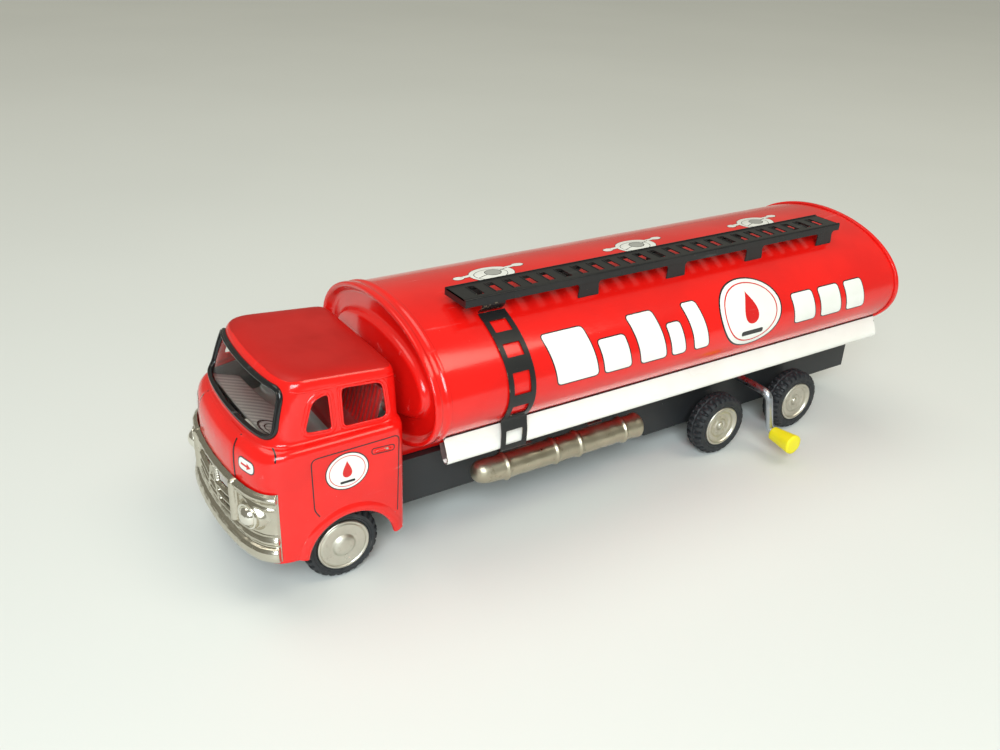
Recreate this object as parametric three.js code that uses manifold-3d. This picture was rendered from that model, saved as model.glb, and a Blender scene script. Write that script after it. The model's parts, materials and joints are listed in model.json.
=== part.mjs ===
// Tin toy tanker truck: a pressed tinplate cab-over lorry with an oval tank,
// driven by a hand crank that spins a flywheel motor geared to the first rear axle.
//
// Units are millimetres, +Z is up and z = 0 is the ground under the tyres.
// The nose points to -Y and +X is the truck's left side, where the crank is.
// Inside this file y = 0 is the front axle and x = 0 the centre plane; the last
// lines shift the whole truck so that its origin is under the middle of its box.
import * as THREE from 'three';
import { mergeVertices } from 'three/addons/utils/BufferGeometryUtils.js';
import Module from 'manifold-3d';

const wasm = await Module();
wasm.setup();

// ---------------------------------------------------------------- dimensions
const SHEET = 0.5; // tinplate
const GAP = 0.3; // between pieces that touch or turn on each other

// running gear
const TYRE_RADIUS = 12.3;
const FRONT_AXLE_Y = 0;
const DRIVE_AXLE_Y = 158;
const REAR_AXLE_Y = 200;
const AXLE_RADIUS = 1.2;
const FRONT_WHEEL = { outerX: 27, width: 7.5, discRadius: 8.75, dished: false };
const REAR_WHEEL = { outerX: 31, width: 8, discRadius: 8.15, dished: true };

// chassis channel
const CHASSIS_HALF_WIDTH = 18.2;
const CHASSIS_TOP = 30.2;
const CHASSIS_BOTTOM = 13.7;
const CHASSIS_LUG_BOTTOM = 9.8; // deeper stretches that carry the axles
const CHASSIS_FRONT_Y = -17;
const CHASSIS_REAR_Y = 243;

// cab
const CAB_BOTTOM = 16;
const CAB_REAR_Y = 20;
const CAB_HALF_WIDTH = 32;
const ROOF_SLOPE = -0.075; // the roof falls towards the tank
const ARCH = { y: 0.8, z: 13, radius: 14.3, lip: 2.6 };

// grille and bumper stamping
const GRILLE_BOTTOM = 17;
const GRILLE_TOP = 39.6;
const GRILLE_SIDE_Y = -21.6;
const GRILLE_POST_X = 16.4;

// tank
const TANK_HALF_WIDTH = 40.5;
const TANK_HALF_HEIGHT = 22.8;
const TANK_CENTRE_Z = 58;
const TANK_FRONT_Y = 24.4;
const TANK_REAR_Y = 236.2;
const RIM_PROUD = 0.8; // the crimped rims stand proud of the shell
const SKIRT_FRONT_Y = 31;
const SKIRT_REAR_Y = 233.8;

// walkway and ladder on the left side of the tank
const WALKWAY = { innerX: 11.5, outerX: 23.5, top: 84.2, flange: 2.3, frontY: 44, rearY: 214 };
const WALKWAY_SLOTS = 24;
const WALKWAY_TAB_PITCH = 38.4;
const WALKWAY_TAB_WIDTH = 8.6;
const LADDER = { y: 54.8, width: 9.7, window: 6.2, foot: 3 };

// exhaust pipe
const EXHAUST = { x: 27.5, z: 23.3, radius: 4.3, frontY: 46.4, rearY: 116.5 };

// crank and motor; every gear has the same tooth size
const GEAR_MODULE = 0.6;
const CRANK_GEAR_TEETH = 24;
const PINION_TEETH = 12;
const CLUSTER_GEAR_TEETH = 22;
const AXLE_GEAR_TEETH = 24;
const FLYWHEEL_PINION_TEETH = 10;
const CRANK_AXIS = { y: 172.4, z: 26.7 };
const CRANK_WIRE_RADIUS = 1.55;
const CRANK_ARM_X = 38.6;
const CRANK_THROW = 18.2;
const CRANK_LEAN = 0.243; // the arm hangs down, this many radians rearwards
const GRIP = { length: 11, innerRadius: 2.9, outerRadius: 4.1 };
const FLYWHEEL = { radius: 12, width: 7, x: -15.3, angle: -0.22 };
const MOTOR_PLATE_X = 7.15; // middle of each motor side plate
const SMALL_SHAFT_RADIUS = 0.9;

// ----------------------------------------------------------------- materials
function paint(color, roughness, metalness) {
  return new THREE.MeshStandardMaterial({ color, roughness, metalness });
}
const RED = () => paint(0xd9140c, 0.28, 0.1);
const WHITE = () => paint(0xeceae2, 0.35, 0.1);
const BLACK = () => paint(0x1a1b1c, 0.35, 0.1);
const NICKEL = () => paint(0xb4ad98, 0.25, 1.0);
const STEEL = () => paint(0x8b9096, 0.4, 1.0);
const BRASS = () => paint(0xb08d46, 0.4, 1.0);
const RUBBER = () => paint(0x202224, 0.85, 0.0);
const LEAD = () => paint(0x70747a, 0.6, 0.9);
const GREY = () => paint(0xa9aaa4, 0.5, 0.1);
const YELLOW = () => paint(0xe8dc1c, 0.4, 0.0);
const CLEAR = () => paint(0xdfe6e4, 0.1, 0.0);

const truck = new THREE.Group();

function addPiece(name, geometry, material, group = truck) {
  const mesh = new THREE.Mesh(geometry, material);
  mesh.name = name;
  group.add(mesh);
  return mesh;
}

// -------------------------------------------------------------- solid helpers
// Any closed three.js geometry becomes a solid with merged corners and outward faces.
function solid(source) {
  const bare = source.clone();
  bare.deleteAttribute('normal');
  bare.deleteAttribute('uv');
  const merged = mergeVertices(bare, 1e-4);
  const corners = merged.attributes.position.array;
  const index = merged.index.array;
  const kept = [];
  let volume = 0;
  for (let i = 0; i < index.length; i += 3) {
    const [a, b, c] = [index[i], index[i + 1], index[i + 2]];
    if (a === b || b === c || c === a) continue;
    kept.push(a, b, c);
    const [p, q, r] = [a, b, c].map((k) => new THREE.Vector3().fromArray(corners, 3 * k));
    volume += p.dot(q.cross(r));
  }
  if (volume < 0) {
    for (let i = 0; i < kept.length; i += 3) {
      [kept[i], kept[i + 1]] = [kept[i + 1], kept[i]];
    }
  }
  return new wasm.Manifold(new wasm.Mesh({
    numProp: 3,
    vertProperties: new Float32Array(corners),
    triVerts: new Uint32Array(kept),
  }));
}

function geometryOf(body) {
  const mesh = body.getMesh();
  const geometry = new THREE.BufferGeometry();
  geometry.setAttribute('position', new THREE.BufferAttribute(mesh.vertProperties, 3));
  geometry.setIndex(new THREE.BufferAttribute(mesh.triVerts, 1));
  geometry.computeVertexNormals();
  return geometry;
}

function joined(...parts) {
  return parts.reduce((sum, part) => sum.add(part));
}

function cut(body, ...cutters) {
  return cutters.reduce((left, cutter) => left.subtract(cutter), body);
}

function box(x0, x1, y0, y1, z0, z1) {
  const geometry = new THREE.BoxGeometry(x1 - x0, y1 - y0, z1 - z0);
  geometry.translate((x0 + x1) / 2, (y0 + y1) / 2, (z0 + z1) / 2);
  return solid(geometry);
}

function outline(points, holes = []) {
  const shape = new THREE.Shape(points.map(([u, v]) => new THREE.Vector2(u, v)));
  for (const hole of holes) {
    shape.holes.push(new THREE.Path(hole.map(([u, v]) => new THREE.Vector2(u, v))));
  }
  return shape;
}

function circlePoints(u, v, radius, count = 20) {
  return Array.from({ length: count }, (_, i) => {
    const turn = (2 * Math.PI * i) / count;
    return [u + radius * Math.cos(turn), v + radius * Math.sin(turn)];
  });
}

// Corner points of a polygon whose corners are rounded to about `radius`.
function roundedPoints(points, radius, steps = 3) {
  const result = [];
  points.forEach(([u, v], i) => {
    const corner = new THREE.Vector2(u, v);
    const before = new THREE.Vector2(...points.at(i - 1));
    const after = new THREE.Vector2(...points[(i + 1) % points.length]);
    const start = before.sub(corner).setLength(radius).add(corner);
    const end = after.sub(corner).setLength(radius).add(corner);
    const bend = new THREE.QuadraticBezierCurve(start, corner, end);
    for (const p of bend.getPoints(steps)) result.push([p.x, p.y]);
  });
  return result;
}

// Extrusions of an outline along each axis: (y, z), (x, z) and (x, y) outlines.
function alongX(shape, x0, x1) {
  const geometry = new THREE.ExtrudeGeometry(shape, { depth: x1 - x0, bevelEnabled: false });
  const frame = new THREE.Matrix4().set(0, 0, 1, x0, 1, 0, 0, 0, 0, 1, 0, 0, 0, 0, 0, 1);
  return solid(geometry.applyMatrix4(frame));
}

function alongY(shape, y0, y1) {
  const geometry = new THREE.ExtrudeGeometry(shape, { depth: y1 - y0, bevelEnabled: false });
  const frame = new THREE.Matrix4().set(1, 0, 0, 0, 0, 0, -1, y1, 0, 1, 0, 0, 0, 0, 0, 1);
  return solid(geometry.applyMatrix4(frame));
}

function alongZ(shape, z0, z1) {
  const geometry = new THREE.ExtrudeGeometry(shape, { depth: z1 - z0, bevelEnabled: false });
  return solid(geometry.translate(0, 0, z0));
}

// A folded sheet: the outline of an open line of points given a thickness to its left.
function sheetOutline(points, thickness = SHEET) {
  const line = points.map(([u, v]) => new THREE.Vector2(u, v));
  const side = line.map((point, i) => {
    const before = line[Math.max(i - 1, 0)];
    const after = line[Math.min(i + 1, line.length - 1)];
    const into = point.clone().sub(before).normalize();
    const out = after.clone().sub(point).normalize();
    const along = into.add(out).normalize();
    const reference = i > 0 ? point.clone().sub(before) : after.clone().sub(point);
    const cosine = along.dot(reference.normalize());
    const reach = thickness / Math.max(cosine, 0.4);
    return point.clone().add(new THREE.Vector2(-along.y, along.x).multiplyScalar(reach));
  });
  return new THREE.Shape([...line, ...side.reverse()]);
}

// A turned solid about an axis parallel to X; the profile holds [radius, x] pairs.
function turnedAlongX(profile, y, z, segments = 20) {
  const points = profile.map(([radius, x]) => new THREE.Vector2(radius, x));
  const geometry = new THREE.LatheGeometry(points, segments);
  geometry.rotateZ(-Math.PI / 2);
  geometry.translate(0, y, z);
  return solid(geometry);
}

function rod(x0, x1, y, z, radius, segments = 16) {
  return turnedAlongX([[0, x0], [radius, x0], [radius, x1], [0, x1]], y, z, segments);
}

function ring(x0, x1, y, z, outer, inner, segments = 20) {
  const profile = [[inner, x0], [outer, x0], [outer, x1], [inner, x1], [inner, x0]];
  return turnedAlongX(profile, y, z, segments);
}

// A solid through a stack of closed rings with equal numbers of points.
function loft(rings) {
  const count = rings[0].length;
  const corners = rings.flat();
  const index = [];
  for (let k = 0; k + 1 < rings.length; k += 1) {
    for (let i = 0; i < count; i += 1) {
      const a = k * count + i;
      const b = k * count + ((i + 1) % count);
      index.push(a, b, b + count, a, b + count, a + count);
    }
  }
  for (const [start, reversed] of [[0, true], [(rings.length - 1) * count, false]]) {
    for (let i = 1; i + 1 < count; i += 1) {
      const fan = [start, start + i, start + i + 1];
      index.push(...(reversed ? fan.reverse() : fan));
    }
  }
  const geometry = new THREE.BufferGeometry();
  geometry.setAttribute('position', new THREE.Float32BufferAttribute(corners.flat(), 3));
  geometry.setIndex(index);
  return solid(geometry);
}

// ------------------------------------------------------------------- chassis
function chassisFrame() {
  const w = CHASSIS_HALF_WIDTH;
  const section = sheetOutline([
    [w, CHASSIS_LUG_BOTTOM], [w, CHASSIS_TOP], [-w, CHASSIS_TOP], [-w, CHASSIS_LUG_BOTTOM],
  ]);
  const trimmed = [[-2, 8], [8.5, 129], [214, 246]].map(([from, to], i) => {
    const start = i === 0 ? CHASSIS_FRONT_Y - 1 : from;
    const end = i === 0 ? -8.5 : to;
    return box(-w - 1, w + 1, start, end, CHASSIS_LUG_BOTTOM - 1, CHASSIS_BOTTOM);
  });
  const through = (y, z, radius) => rod(-w - 1, w + 1, y, z, radius + GAP);
  const shaftWay = rod(0, w + 1, CRANK_AXIS.y, CRANK_AXIS.z, CRANK_WIRE_RADIUS + GAP);
  return cut(
    alongY(section, CHASSIS_FRONT_Y, CHASSIS_REAR_Y),
    ...trimmed,
    through(FRONT_AXLE_Y, TYRE_RADIUS, AXLE_RADIUS),
    through(DRIVE_AXLE_Y, TYRE_RADIUS, AXLE_RADIUS),
    through(REAR_AXLE_Y, TYRE_RADIUS, AXLE_RADIUS),
    shaftWay,
    motorWindow(),
  );
}

// The crank gear stands up through this window in the chassis and the tank cradle.
function motorWindow() {
  return box(-2.6, 2.6, CRANK_AXIS.y - 9, CRANK_AXIS.y + 9, CHASSIS_TOP - 2, CHASSIS_TOP + 2);
}

// ----------------------------------------------------------------------- cab
// One horizontal ring of the cab's skin. `grow` moves it outwards, and the exponents
// set how tight the front and rear corners are.
const RING_POINTS = 32;
function cabRing({ z, half, front, rear, bow, slope = 0 }, grow = 0) {
  const middle = (front + rear) / 2;
  const points = [];
  for (let i = 0; i < RING_POINTS; i += 1) {
    const turn = (2 * Math.PI * (i + 0.5)) / RING_POINTS;
    const [c, s] = [Math.cos(turn), Math.sin(turn)];
    const power = s < 0 ? 2 / 7 : 2 / 14;
    const x = (half + grow) * Math.sign(c) * Math.abs(c) ** power;
    const reach = (rear - front) / 2 + grow;
    let y = middle + reach * Math.sign(s) * Math.abs(s) ** power;
    if (s < 0) y += bow * (x / half) ** 2 * Math.abs(s) ** power;
    points.push([x, y, z + slope * (y - rear)]);
  }
  return points;
}

const CAB_SECTIONS = [
  { z: CAB_BOTTOM, half: CAB_HALF_WIDTH, front: -29.2, rear: CAB_REAR_Y, bow: 4 },
  { z: 42, half: CAB_HALF_WIDTH, front: -29.2, rear: CAB_REAR_Y, bow: 4 },
  { z: 49.5, half: CAB_HALF_WIDTH, front: -28.6, rear: CAB_REAR_Y, bow: 4 },
  { z: 51.8, half: 31.6, front: -27.6, rear: CAB_REAR_Y, bow: 4 },
  { z: 52.9, half: 30.2, front: -26.2, rear: CAB_REAR_Y, bow: 4 },
  { z: 53.4, half: 28.5, front: -24.6, rear: 19.8, bow: 2.8 },
  { z: 60.6, half: 27.7, front: -21.5, rear: 19.8, bow: 2.6, slope: ROOF_SLOPE * 0.4 },
  { z: 67, half: 26.8, front: -18.2, rear: 19.6, bow: 2.4, slope: ROOF_SLOPE * 0.9 },
  { z: 68.6, half: 26.2, front: -17, rear: 19.3, bow: 2.4, slope: ROOF_SLOPE },
  { z: 69.7, half: 24.8, front: -15.2, rear: 18.4, bow: 2.4, slope: ROOF_SLOPE },
  { z: 70.4, half: 21.5, front: -12, rear: 16, bow: 2, slope: ROOF_SLOPE },
  { z: 70.7, half: 14, front: -5, rear: 11, bow: 1, slope: ROOF_SLOPE },
];

function cabForm(grow, bottom = 0) {
  const sections = CAB_SECTIONS.map((section, i) => {
    const lifted = i < CAB_SECTIONS.length - 4 ? 0 : grow;
    const start = i === 0 ? bottom : 0;
    return { ...section, z: section.z + lifted - start };
  });
  return loft(sections.map((section) => cabRing(section, grow)));
}

const VENT_WINDOW = [[-11.1, 55.9], [-2.6, 55.1], [-2.9, 66.3], [-8, 65.2]];
const SIDE_WINDOW = [[0.9, 54.9], [15, 54.6], [14.2, 65.9], [1, 66.9]];
const WINDSHIELD = { bottom: 55.6, top: 68.5, bottomHalf: 25.8, topHalf: 23.6 };

function windshieldOutline(margin) {
  const { bottom, top, bottomHalf, topHalf } = WINDSHIELD;
  const corners = [
    [-bottomHalf - margin, bottom - margin], [bottomHalf + margin, bottom - margin],
    [topHalf + margin, top + margin], [-topHalf - margin, top + margin],
  ];
  return roundedPoints(corners, 3);
}

function cabShell() {
  const lipOuter = ARCH.radius + ARCH.lip;
  const overBottom = box(-40, 40, -40, 40, CAB_BOTTOM, 60);
  const lips = [-1, 1].map((side) => {
    const [inner, outer] = [side * (CAB_HALF_WIDTH - 1), side * (CAB_HALF_WIDTH + 0.7)];
    const whole = ring(Math.min(inner, outer), Math.max(inner, outer),
      ARCH.y, ARCH.z, lipOuter, ARCH.radius, 32);
    return whole.intersect(overBottom);
  });
  const sideCut = (points) => alongX(outline(roundedPoints(points, 1.6)), -40, 40);
  return cut(
    joined(cabForm(0), ...lips),
    cabForm(-SHEET, 2),
    rod(-40, 40, ARCH.y, ARCH.z, ARCH.radius, 32),
    box(-CAB_HALF_WIDTH + 4, CAB_HALF_WIDTH - 4, 10, 30, 0, CHASSIS_TOP + 1.4),
    sideCut(VENT_WINDOW),
    sideCut(SIDE_WINDOW),
    alongY(outline(windshieldOutline(0)), -40, 0),
    box(-GRILLE_POST_X + 3, GRILLE_POST_X - 3, -35, -20, 25, 36),
  );
}

function windshieldFrame() {
  const band = outline(windshieldOutline(1.1), [windshieldOutline(-0.5).reverse()]);
  const skin = cut(cabForm(GAP + 0.55), cabForm(GAP));
  return alongY(band, -40, -8).intersect(skin);
}

function windshieldGlazing() {
  const skin = cut(cabForm(-SHEET - GAP), cabForm(-SHEET - GAP - 0.35, 1));
  return alongY(outline(windshieldOutline(0.9)), -40, -8).intersect(skin);
}

// Printed tin panel behind the glass: a sloping dash, then a bench seat and its back.
function seatInsert() {
  const profile = [
    [-18.2, 52.4], [-4, 47], [-2.5, 41], [3.5, 41], [4.5, 46.5], [11, 47.5], [15, 62.5],
  ];
  return alongX(sheetOutline(profile), -26.2, 26.2);
}

// One nickelled stamping: bumper bar, grille, upper ledge and headlamp bulges.
function grilleBumper() {
  const base = CAB_SECTIONS[0];
  const faceOf = (levels) => loft(levels.map(([z, grow]) => cabRing({ ...base, z }, grow)));
  const outside = faceOf([
    [GRILLE_BOTTOM, 1.1], [GRILLE_BOTTOM + 1, 2.6], [20, 3.1], [22, 2.7], [23, 1.5],
    [24, 2.1], [25, 1.6], [26, 1.0], [37.4, 1.0], [38.2, 1.8], [GRILLE_TOP - 0.4, 1.7],
    [GRILLE_TOP, 1.0],
  ]);
  const inside = faceOf([[GRILLE_BOTTOM - 1, GAP], [GRILLE_TOP + 1, GAP]]);
  const behind = box(-50, 50, GRILLE_SIDE_Y, 40, 0, 60);
  const posts = [-1, 1].map((side) => {
    const post = new THREE.CapsuleGeometry(1.3, 13, 3, 10).rotateX(Math.PI / 2);
    return solid(post.translate(side * GRILLE_POST_X, -29.6, 32.6));
  });
  const lamps = [-1, 1].map((side) => {
    const lamp = new THREE.SphereGeometry(3.9, 14, 10).scale(1, 1.15, 1);
    return solid(lamp.translate(side * 24.2, -26.4, 31.6));
  });
  const slots = [];
  for (const [low, high, inset] of [[31.8, 34.6, 0.6], [29.2, 30.8, 1.4], [26.8, 28.2, 2.2]]) {
    for (const side of [-1, 1]) {
      const points = [[side * (1 + inset), high], [side * 12.9, high],
        [side * 12.9, low], [side * (2.4 + inset), low]];
      slots.push(alongY(outline(side > 0 ? points : points.reverse()), -40, -20));
    }
  }
  return cut(joined(outside, ...posts, ...lamps), inside, behind, ...slots);
}

// ---------------------------------------------------------------------- tank
const TANK_POINTS = 40;
function tankRing(y, grow, count = TANK_POINTS) {
  return Array.from({ length: count }, (_, i) => {
    const turn = (-2 * Math.PI * i) / count;
    const x = (TANK_HALF_WIDTH + grow) * Math.cos(turn);
    const z = TANK_CENTRE_Z + (TANK_HALF_HEIGHT + grow) * Math.sin(turn);
    return [x, y, z];
  });
}

function tankForm(levels) {
  return loft(levels.map(([y, grow]) => tankRing(y, grow)));
}

const CAP_FACE_DEPTH = 2.9; // from the rim's edge back to the face
const CAP_POCKET = 3.8; // from the rim's edge to the end of the shell

function tankShell() {
  const [front, rear] = [TANK_FRONT_Y + CAP_POCKET, TANK_REAR_Y - 1.5];
  return cut(
    tankForm([[front, 0], [rear, 0]]),
    tankForm([[front - 1, -SHEET], [rear + 1, -SHEET]]),
  );
}

// Front cap: a raised middle, a recessed ring round it and a rim with two ridges.
function tankFrontCap() {
  const y = TANK_FRONT_Y;
  const back = y + CAP_FACE_DEPTH;
  return tankForm([
    [y + 0.7, -20], [y + 0.7, -9], [y + 1.3, -8], [back - SHEET, -7.4], [back - SHEET, -2],
    [y + 0.6, -0.9], [y, 0], [y + 0.5, RIM_PROUD], [y + 1.8, RIM_PROUD], [y + 2.6, 0.5],
    [y + 4, 0.5], [y + 4.7, RIM_PROUD], [y + 5.6, RIM_PROUD], [y + 5.6, GAP],
    [back + SHEET, GAP], [back, -6.6], [y + 1.9, -7.2], [y + 1.2, -20],
  ]);
}

// Rear cap: a shallow dish with one narrow rim.
function tankRearCap() {
  const y = TANK_REAR_Y;
  return tankForm([
    [y - 2.6, -20], [y - 2.6, -9.5], [y - 1.3, -8], [y - 1.2, GAP], [y - 2.1, GAP],
    [y - 2.1, RIM_PROUD], [y - 0.4, RIM_PROUD], [y, 0.2], [y - 0.4, -0.9], [y - 0.7, -1.8],
    [y - 0.7, -7.4], [y - 2, -9.3], [y - 2, -20],
  ]);
}

// Folded U along the tank's lower edge: a flared outer face and a turned-in return.
function skirt(side) {
  const profile = [[34, 45], [36.4, 38.9], [36.2, 37.9], [35.4, 37.4], [34.4, 37.6],
    [33.8, 38.5], [32, 42.6]].map(([x, z]) => [side * x, z]);
  if (side > 0) profile.reverse();
  const shape = sheetOutline(profile, side > 0 ? -SHEET : -SHEET);
  return alongY(shape, SKIRT_FRONT_Y, SKIRT_REAR_Y);
}

// Red tray between the chassis and the tank.
function tankCradle() {
  const floor = CHASSIS_TOP + GAP;
  const section = sheetOutline([[15.5, 35.5], [15.5, floor], [-15.5, floor], [-15.5, 35.5]], -SHEET);
  return cut(alongY(section, CAB_REAR_Y + 1.5, TANK_REAR_Y - 6), motorWindow());
}

function onTank(x, grow = 0) {
  const share = x / (TANK_HALF_WIDTH + grow);
  return TANK_CENTRE_Z + (TANK_HALF_HEIGHT + grow) * Math.sqrt(1 - share * share);
}

// ------------------------------------------------------- walkway and ladder
function walkway() {
  const { innerX, outerX, top, flange, frontY, rearY } = WALKWAY;
  const section = sheetOutline([
    [outerX, top - flange], [outerX, top], [innerX, top], [innerX, top - flange],
  ]);
  const tabs = [1, 2, 3, 4].map((i) => {
    const y = LADDER.y + i * WALKWAY_TAB_PITCH - 1.5;
    return box(outerX - SHEET, outerX, y - WALKWAY_TAB_WIDTH / 2, y + WALKWAY_TAB_WIDTH / 2,
      onTank(outerX) + 0.6, top - flange + 0.2);
  });
  const frontLip = box(innerX, outerX, frontY, frontY + SHEET, top - flange, top);
  const pitch = (rearY - frontY - 8) / WALKWAY_SLOTS;
  const slots = Array.from({ length: WALKWAY_SLOTS }, (_, i) => {
    const y = frontY + 4 + (i + 0.5) * pitch;
    return box(innerX + 2.2, outerX - 2.6, y - 1.4, y + 1.4, top - 2, top + 1);
  });
  return cut(joined(alongY(section, frontY, rearY), frontLip, ...tabs), ...slots);
}

// The ladder hugs the tank from under the walkway to its foot below the skirt.
function ladder() {
  const [y0, y1] = [LADDER.y - LADDER.width / 2, LADDER.y + LADDER.width / 2];
  const lift = GAP + 0.1;
  const path = [];
  const [from, to] = [0.92, -0.5]; // radians round the tank
  for (let i = 0; i <= 14; i += 1) {
    const turn = from + ((to - from) * i) / 14;
    path.push([(TANK_HALF_WIDTH + lift) * Math.cos(turn),
      TANK_CENTRE_Z + (TANK_HALF_HEIGHT + lift) * Math.sin(turn)]);
  }
  path.push([37.1, 41.5], [37.3, 36.9], [34.4, 36.5]);
  const strap = alongY(sheetOutline(path), y0, y1);
  const windows = [[27, 74.3], [34.8, 69.3], [40.6, 60.6], [38.5, 50.3], [37.2, 40.9]];
  const heights = [5.4, 5.8, 5.4, 5, 4.6];
  const cutters = windows.map(([x, z], i) => {
    const geometry = new THREE.BoxGeometry(8, LADDER.window, heights[i]);
    const steep = Math.atan2((z - TANK_CENTRE_Z) / TANK_HALF_HEIGHT ** 2, x / TANK_HALF_WIDTH ** 2);
    geometry.rotateY(i < 4 ? -steep : 0);
    return solid(geometry.translate(x, LADDER.y, z));
  });
  return cut(strap, ...cutters);
}

// ------------------------------------------------------------------- exhaust
// Half of a stamped pipe with ring beads, its open back held to the chassis by two tabs.
function exhaustPipe() {
  const { x, z, radius, frontY, rearY } = EXHAUST;
  const beads = [58, 78, 88, 108];
  const profile = [[0, frontY], [radius * 0.6, frontY + 0.9], [radius - 0.2, frontY + 3.6]];
  for (const y of beads) {
    profile.push([radius, y - 1.1], [radius + 0.6, y - 0.3], [radius + 0.6, y + 0.3], [radius, y + 1.1]);
  }
  profile.push([radius, rearY - 1], [radius - 0.8, rearY], [0, rearY]);
  const inner = profile.map(([r, y], i) => {
    const end = i === 0 ? SHEET : i > profile.length - 3 ? -SHEET : 0;
    return [Math.max(r - SHEET, 0), y + end];
  });
  const turned = (points) => {
    const geometry = new THREE.LatheGeometry(points.map(([r, y]) => new THREE.Vector2(r, y)), 16);
    return solid(geometry.translate(x, 0, z));
  };
  const half = cut(turned(profile), turned(inner), box(x - 9, x - 1, frontY - 2, rearY + 2, z - 9, z + 9));
  const tabs = [frontY + 22, rearY - 18].map((y) => (
    box(CHASSIS_HALF_WIDTH + GAP, x, y - 3, y + 3, z + radius - 0.75, z + radius - 0.1)
  ));
  return joined(half, ...tabs);
}

// -------------------------------------------------------------------- wheels
function tyre({ outerX, width, discRadius }) {
  const [x0, x1] = [outerX - width, outerX];
  const bead = discRadius - 0.2;
  return [
    [bead, x0 + 0.6], [bead + 1.6, x0], [TYRE_RADIUS - 1.2, x0 + 0.3], [TYRE_RADIUS, x0 + 1.6],
    [TYRE_RADIUS, x1 - 1.6], [TYRE_RADIUS - 1.2, x1 - 0.3], [bead + 1.6, x1], [bead, x1 - 0.6],
    [bead, x1 - 2.2], [bead - 1.3, x1 - 2.9], [bead - 1.3, x0 + 2.9], [bead, x0 + 2.2],
    [bead, x0 + 0.6],
  ];
}

// Inner wheel half: a flange behind the tyre and a barrel on the axle.
function hubHalf({ outerX, width, discRadius }) {
  const back = outerX - width + 0.7;
  const bore = AXLE_RADIUS + GAP;
  return [
    [bore, back - 0.9], [2.8, back - 0.9], [3, back], [discRadius - 0.7, back],
    [discRadius - 0.7, back + 1], [discRadius - 2.4, back + 1.8], [2.8, back + 1.8],
    [2.8, outerX - 2.4], [bore, outerX - 2.4], [bore, back - 0.9],
  ];
}

// Outer wheel disc: the front one has a round boss, the rear ones are dished.
function wheelDisc({ outerX, discRadius, dished }) {
  const rim = discRadius - 0.6;
  if (dished) {
    return [
      [0, outerX - 1.1], [1.5, outerX - 1], [1.8, outerX - 1.5], [4.4, outerX - 1.3],
      [5.2, outerX - 0.9], [rim, outerX - 0.3], [rim, outerX - 0.9], [4.6, outerX - 2],
      [0, outerX - 2.1],
    ];
  }
  return [
    [0, outerX + 1.5], [2.8, outerX + 1.3], [3.7, outerX + 0.3], [4.2, outerX - 0.1],
    [rim - 0.9, outerX + 0.2], [rim, outerX - 0.4], [rim, outerX - 0.9], [4, outerX - 1.2],
    [0, outerX - 2.1],
  ];
}

function addAxle(label, y, wheel) {
  const mirrored = (profile) => profile.map(([radius, x]) => [radius, -x]);
  const reach = wheel.outerX - 2.1 - GAP;
  addPiece(`${label}_axle`, geometryOf(rod(-reach, reach, y, TYRE_RADIUS, AXLE_RADIUS)), STEEL());
  for (const [side, place] of [['left', (p) => p], ['right', mirrored]]) {
    const turned = (profile, segments) => (
      geometryOf(turnedAlongX(place(profile), y, TYRE_RADIUS, segments))
    );
    addPiece(`${label}_tyre_${side}`, turned(tyre(wheel), 22), RUBBER());
    addPiece(`${label}_hub_${side}`, turned(hubHalf(wheel), 14), STEEL());
    addPiece(`${label}_disc_${side}`, turned(wheelDisc(wheel), 18), NICKEL());
  }
}

// --------------------------------------------------------------------- gears
// A gear blank with straight-flanked teeth, thinned a little so that a pair runs free.
function gear({ teeth, x0, x1, y, z, bore, phase }) {
  const pitch = (GEAR_MODULE * teeth) / 2;
  const [root, tip] = [pitch - 1.15 * GEAR_MODULE, pitch + 0.85 * GEAR_MODULE];
  const halves = [[root, 0.88], [pitch, 0.6], [tip, 0.22]]; // half thickness, in modules
  const points = [];
  for (let i = 0; i < teeth; i += 1) {
    const middle = phase + (2 * Math.PI * i) / teeth;
    const flank = halves.map(([radius, half]) => [radius, (half * GEAR_MODULE) / radius]);
    const toothLine = [...flank.map(([r, a]) => [r, -a]), ...flank.reverse()];
    for (const [radius, angle] of toothLine) {
      points.push([y + radius * Math.cos(middle + angle), z + radius * Math.sin(middle + angle)]);
    }
  }
  return alongX(outline(points, [circlePoints(y, z, bore, 14).reverse()]), x0, x1);
}

// The phase of a gear that meshes with another: a gap meets the other one's tooth.
function meshPhase(from, fromTeeth, fromPhase, to, toTeeth) {
  const towards = Math.atan2(to.z - from.z, to.y - from.y);
  const toothShare = ((fromPhase - towards) * fromTeeth) / (2 * Math.PI);
  return towards + Math.PI + ((0.5 - toothShare) * 2 * Math.PI) / toTeeth;
}

const DRIVE_AXIS = { y: DRIVE_AXLE_Y, z: TYRE_RADIUS };
const pitchSum = (a, b) => (GEAR_MODULE * (a + b)) / 2;

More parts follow.
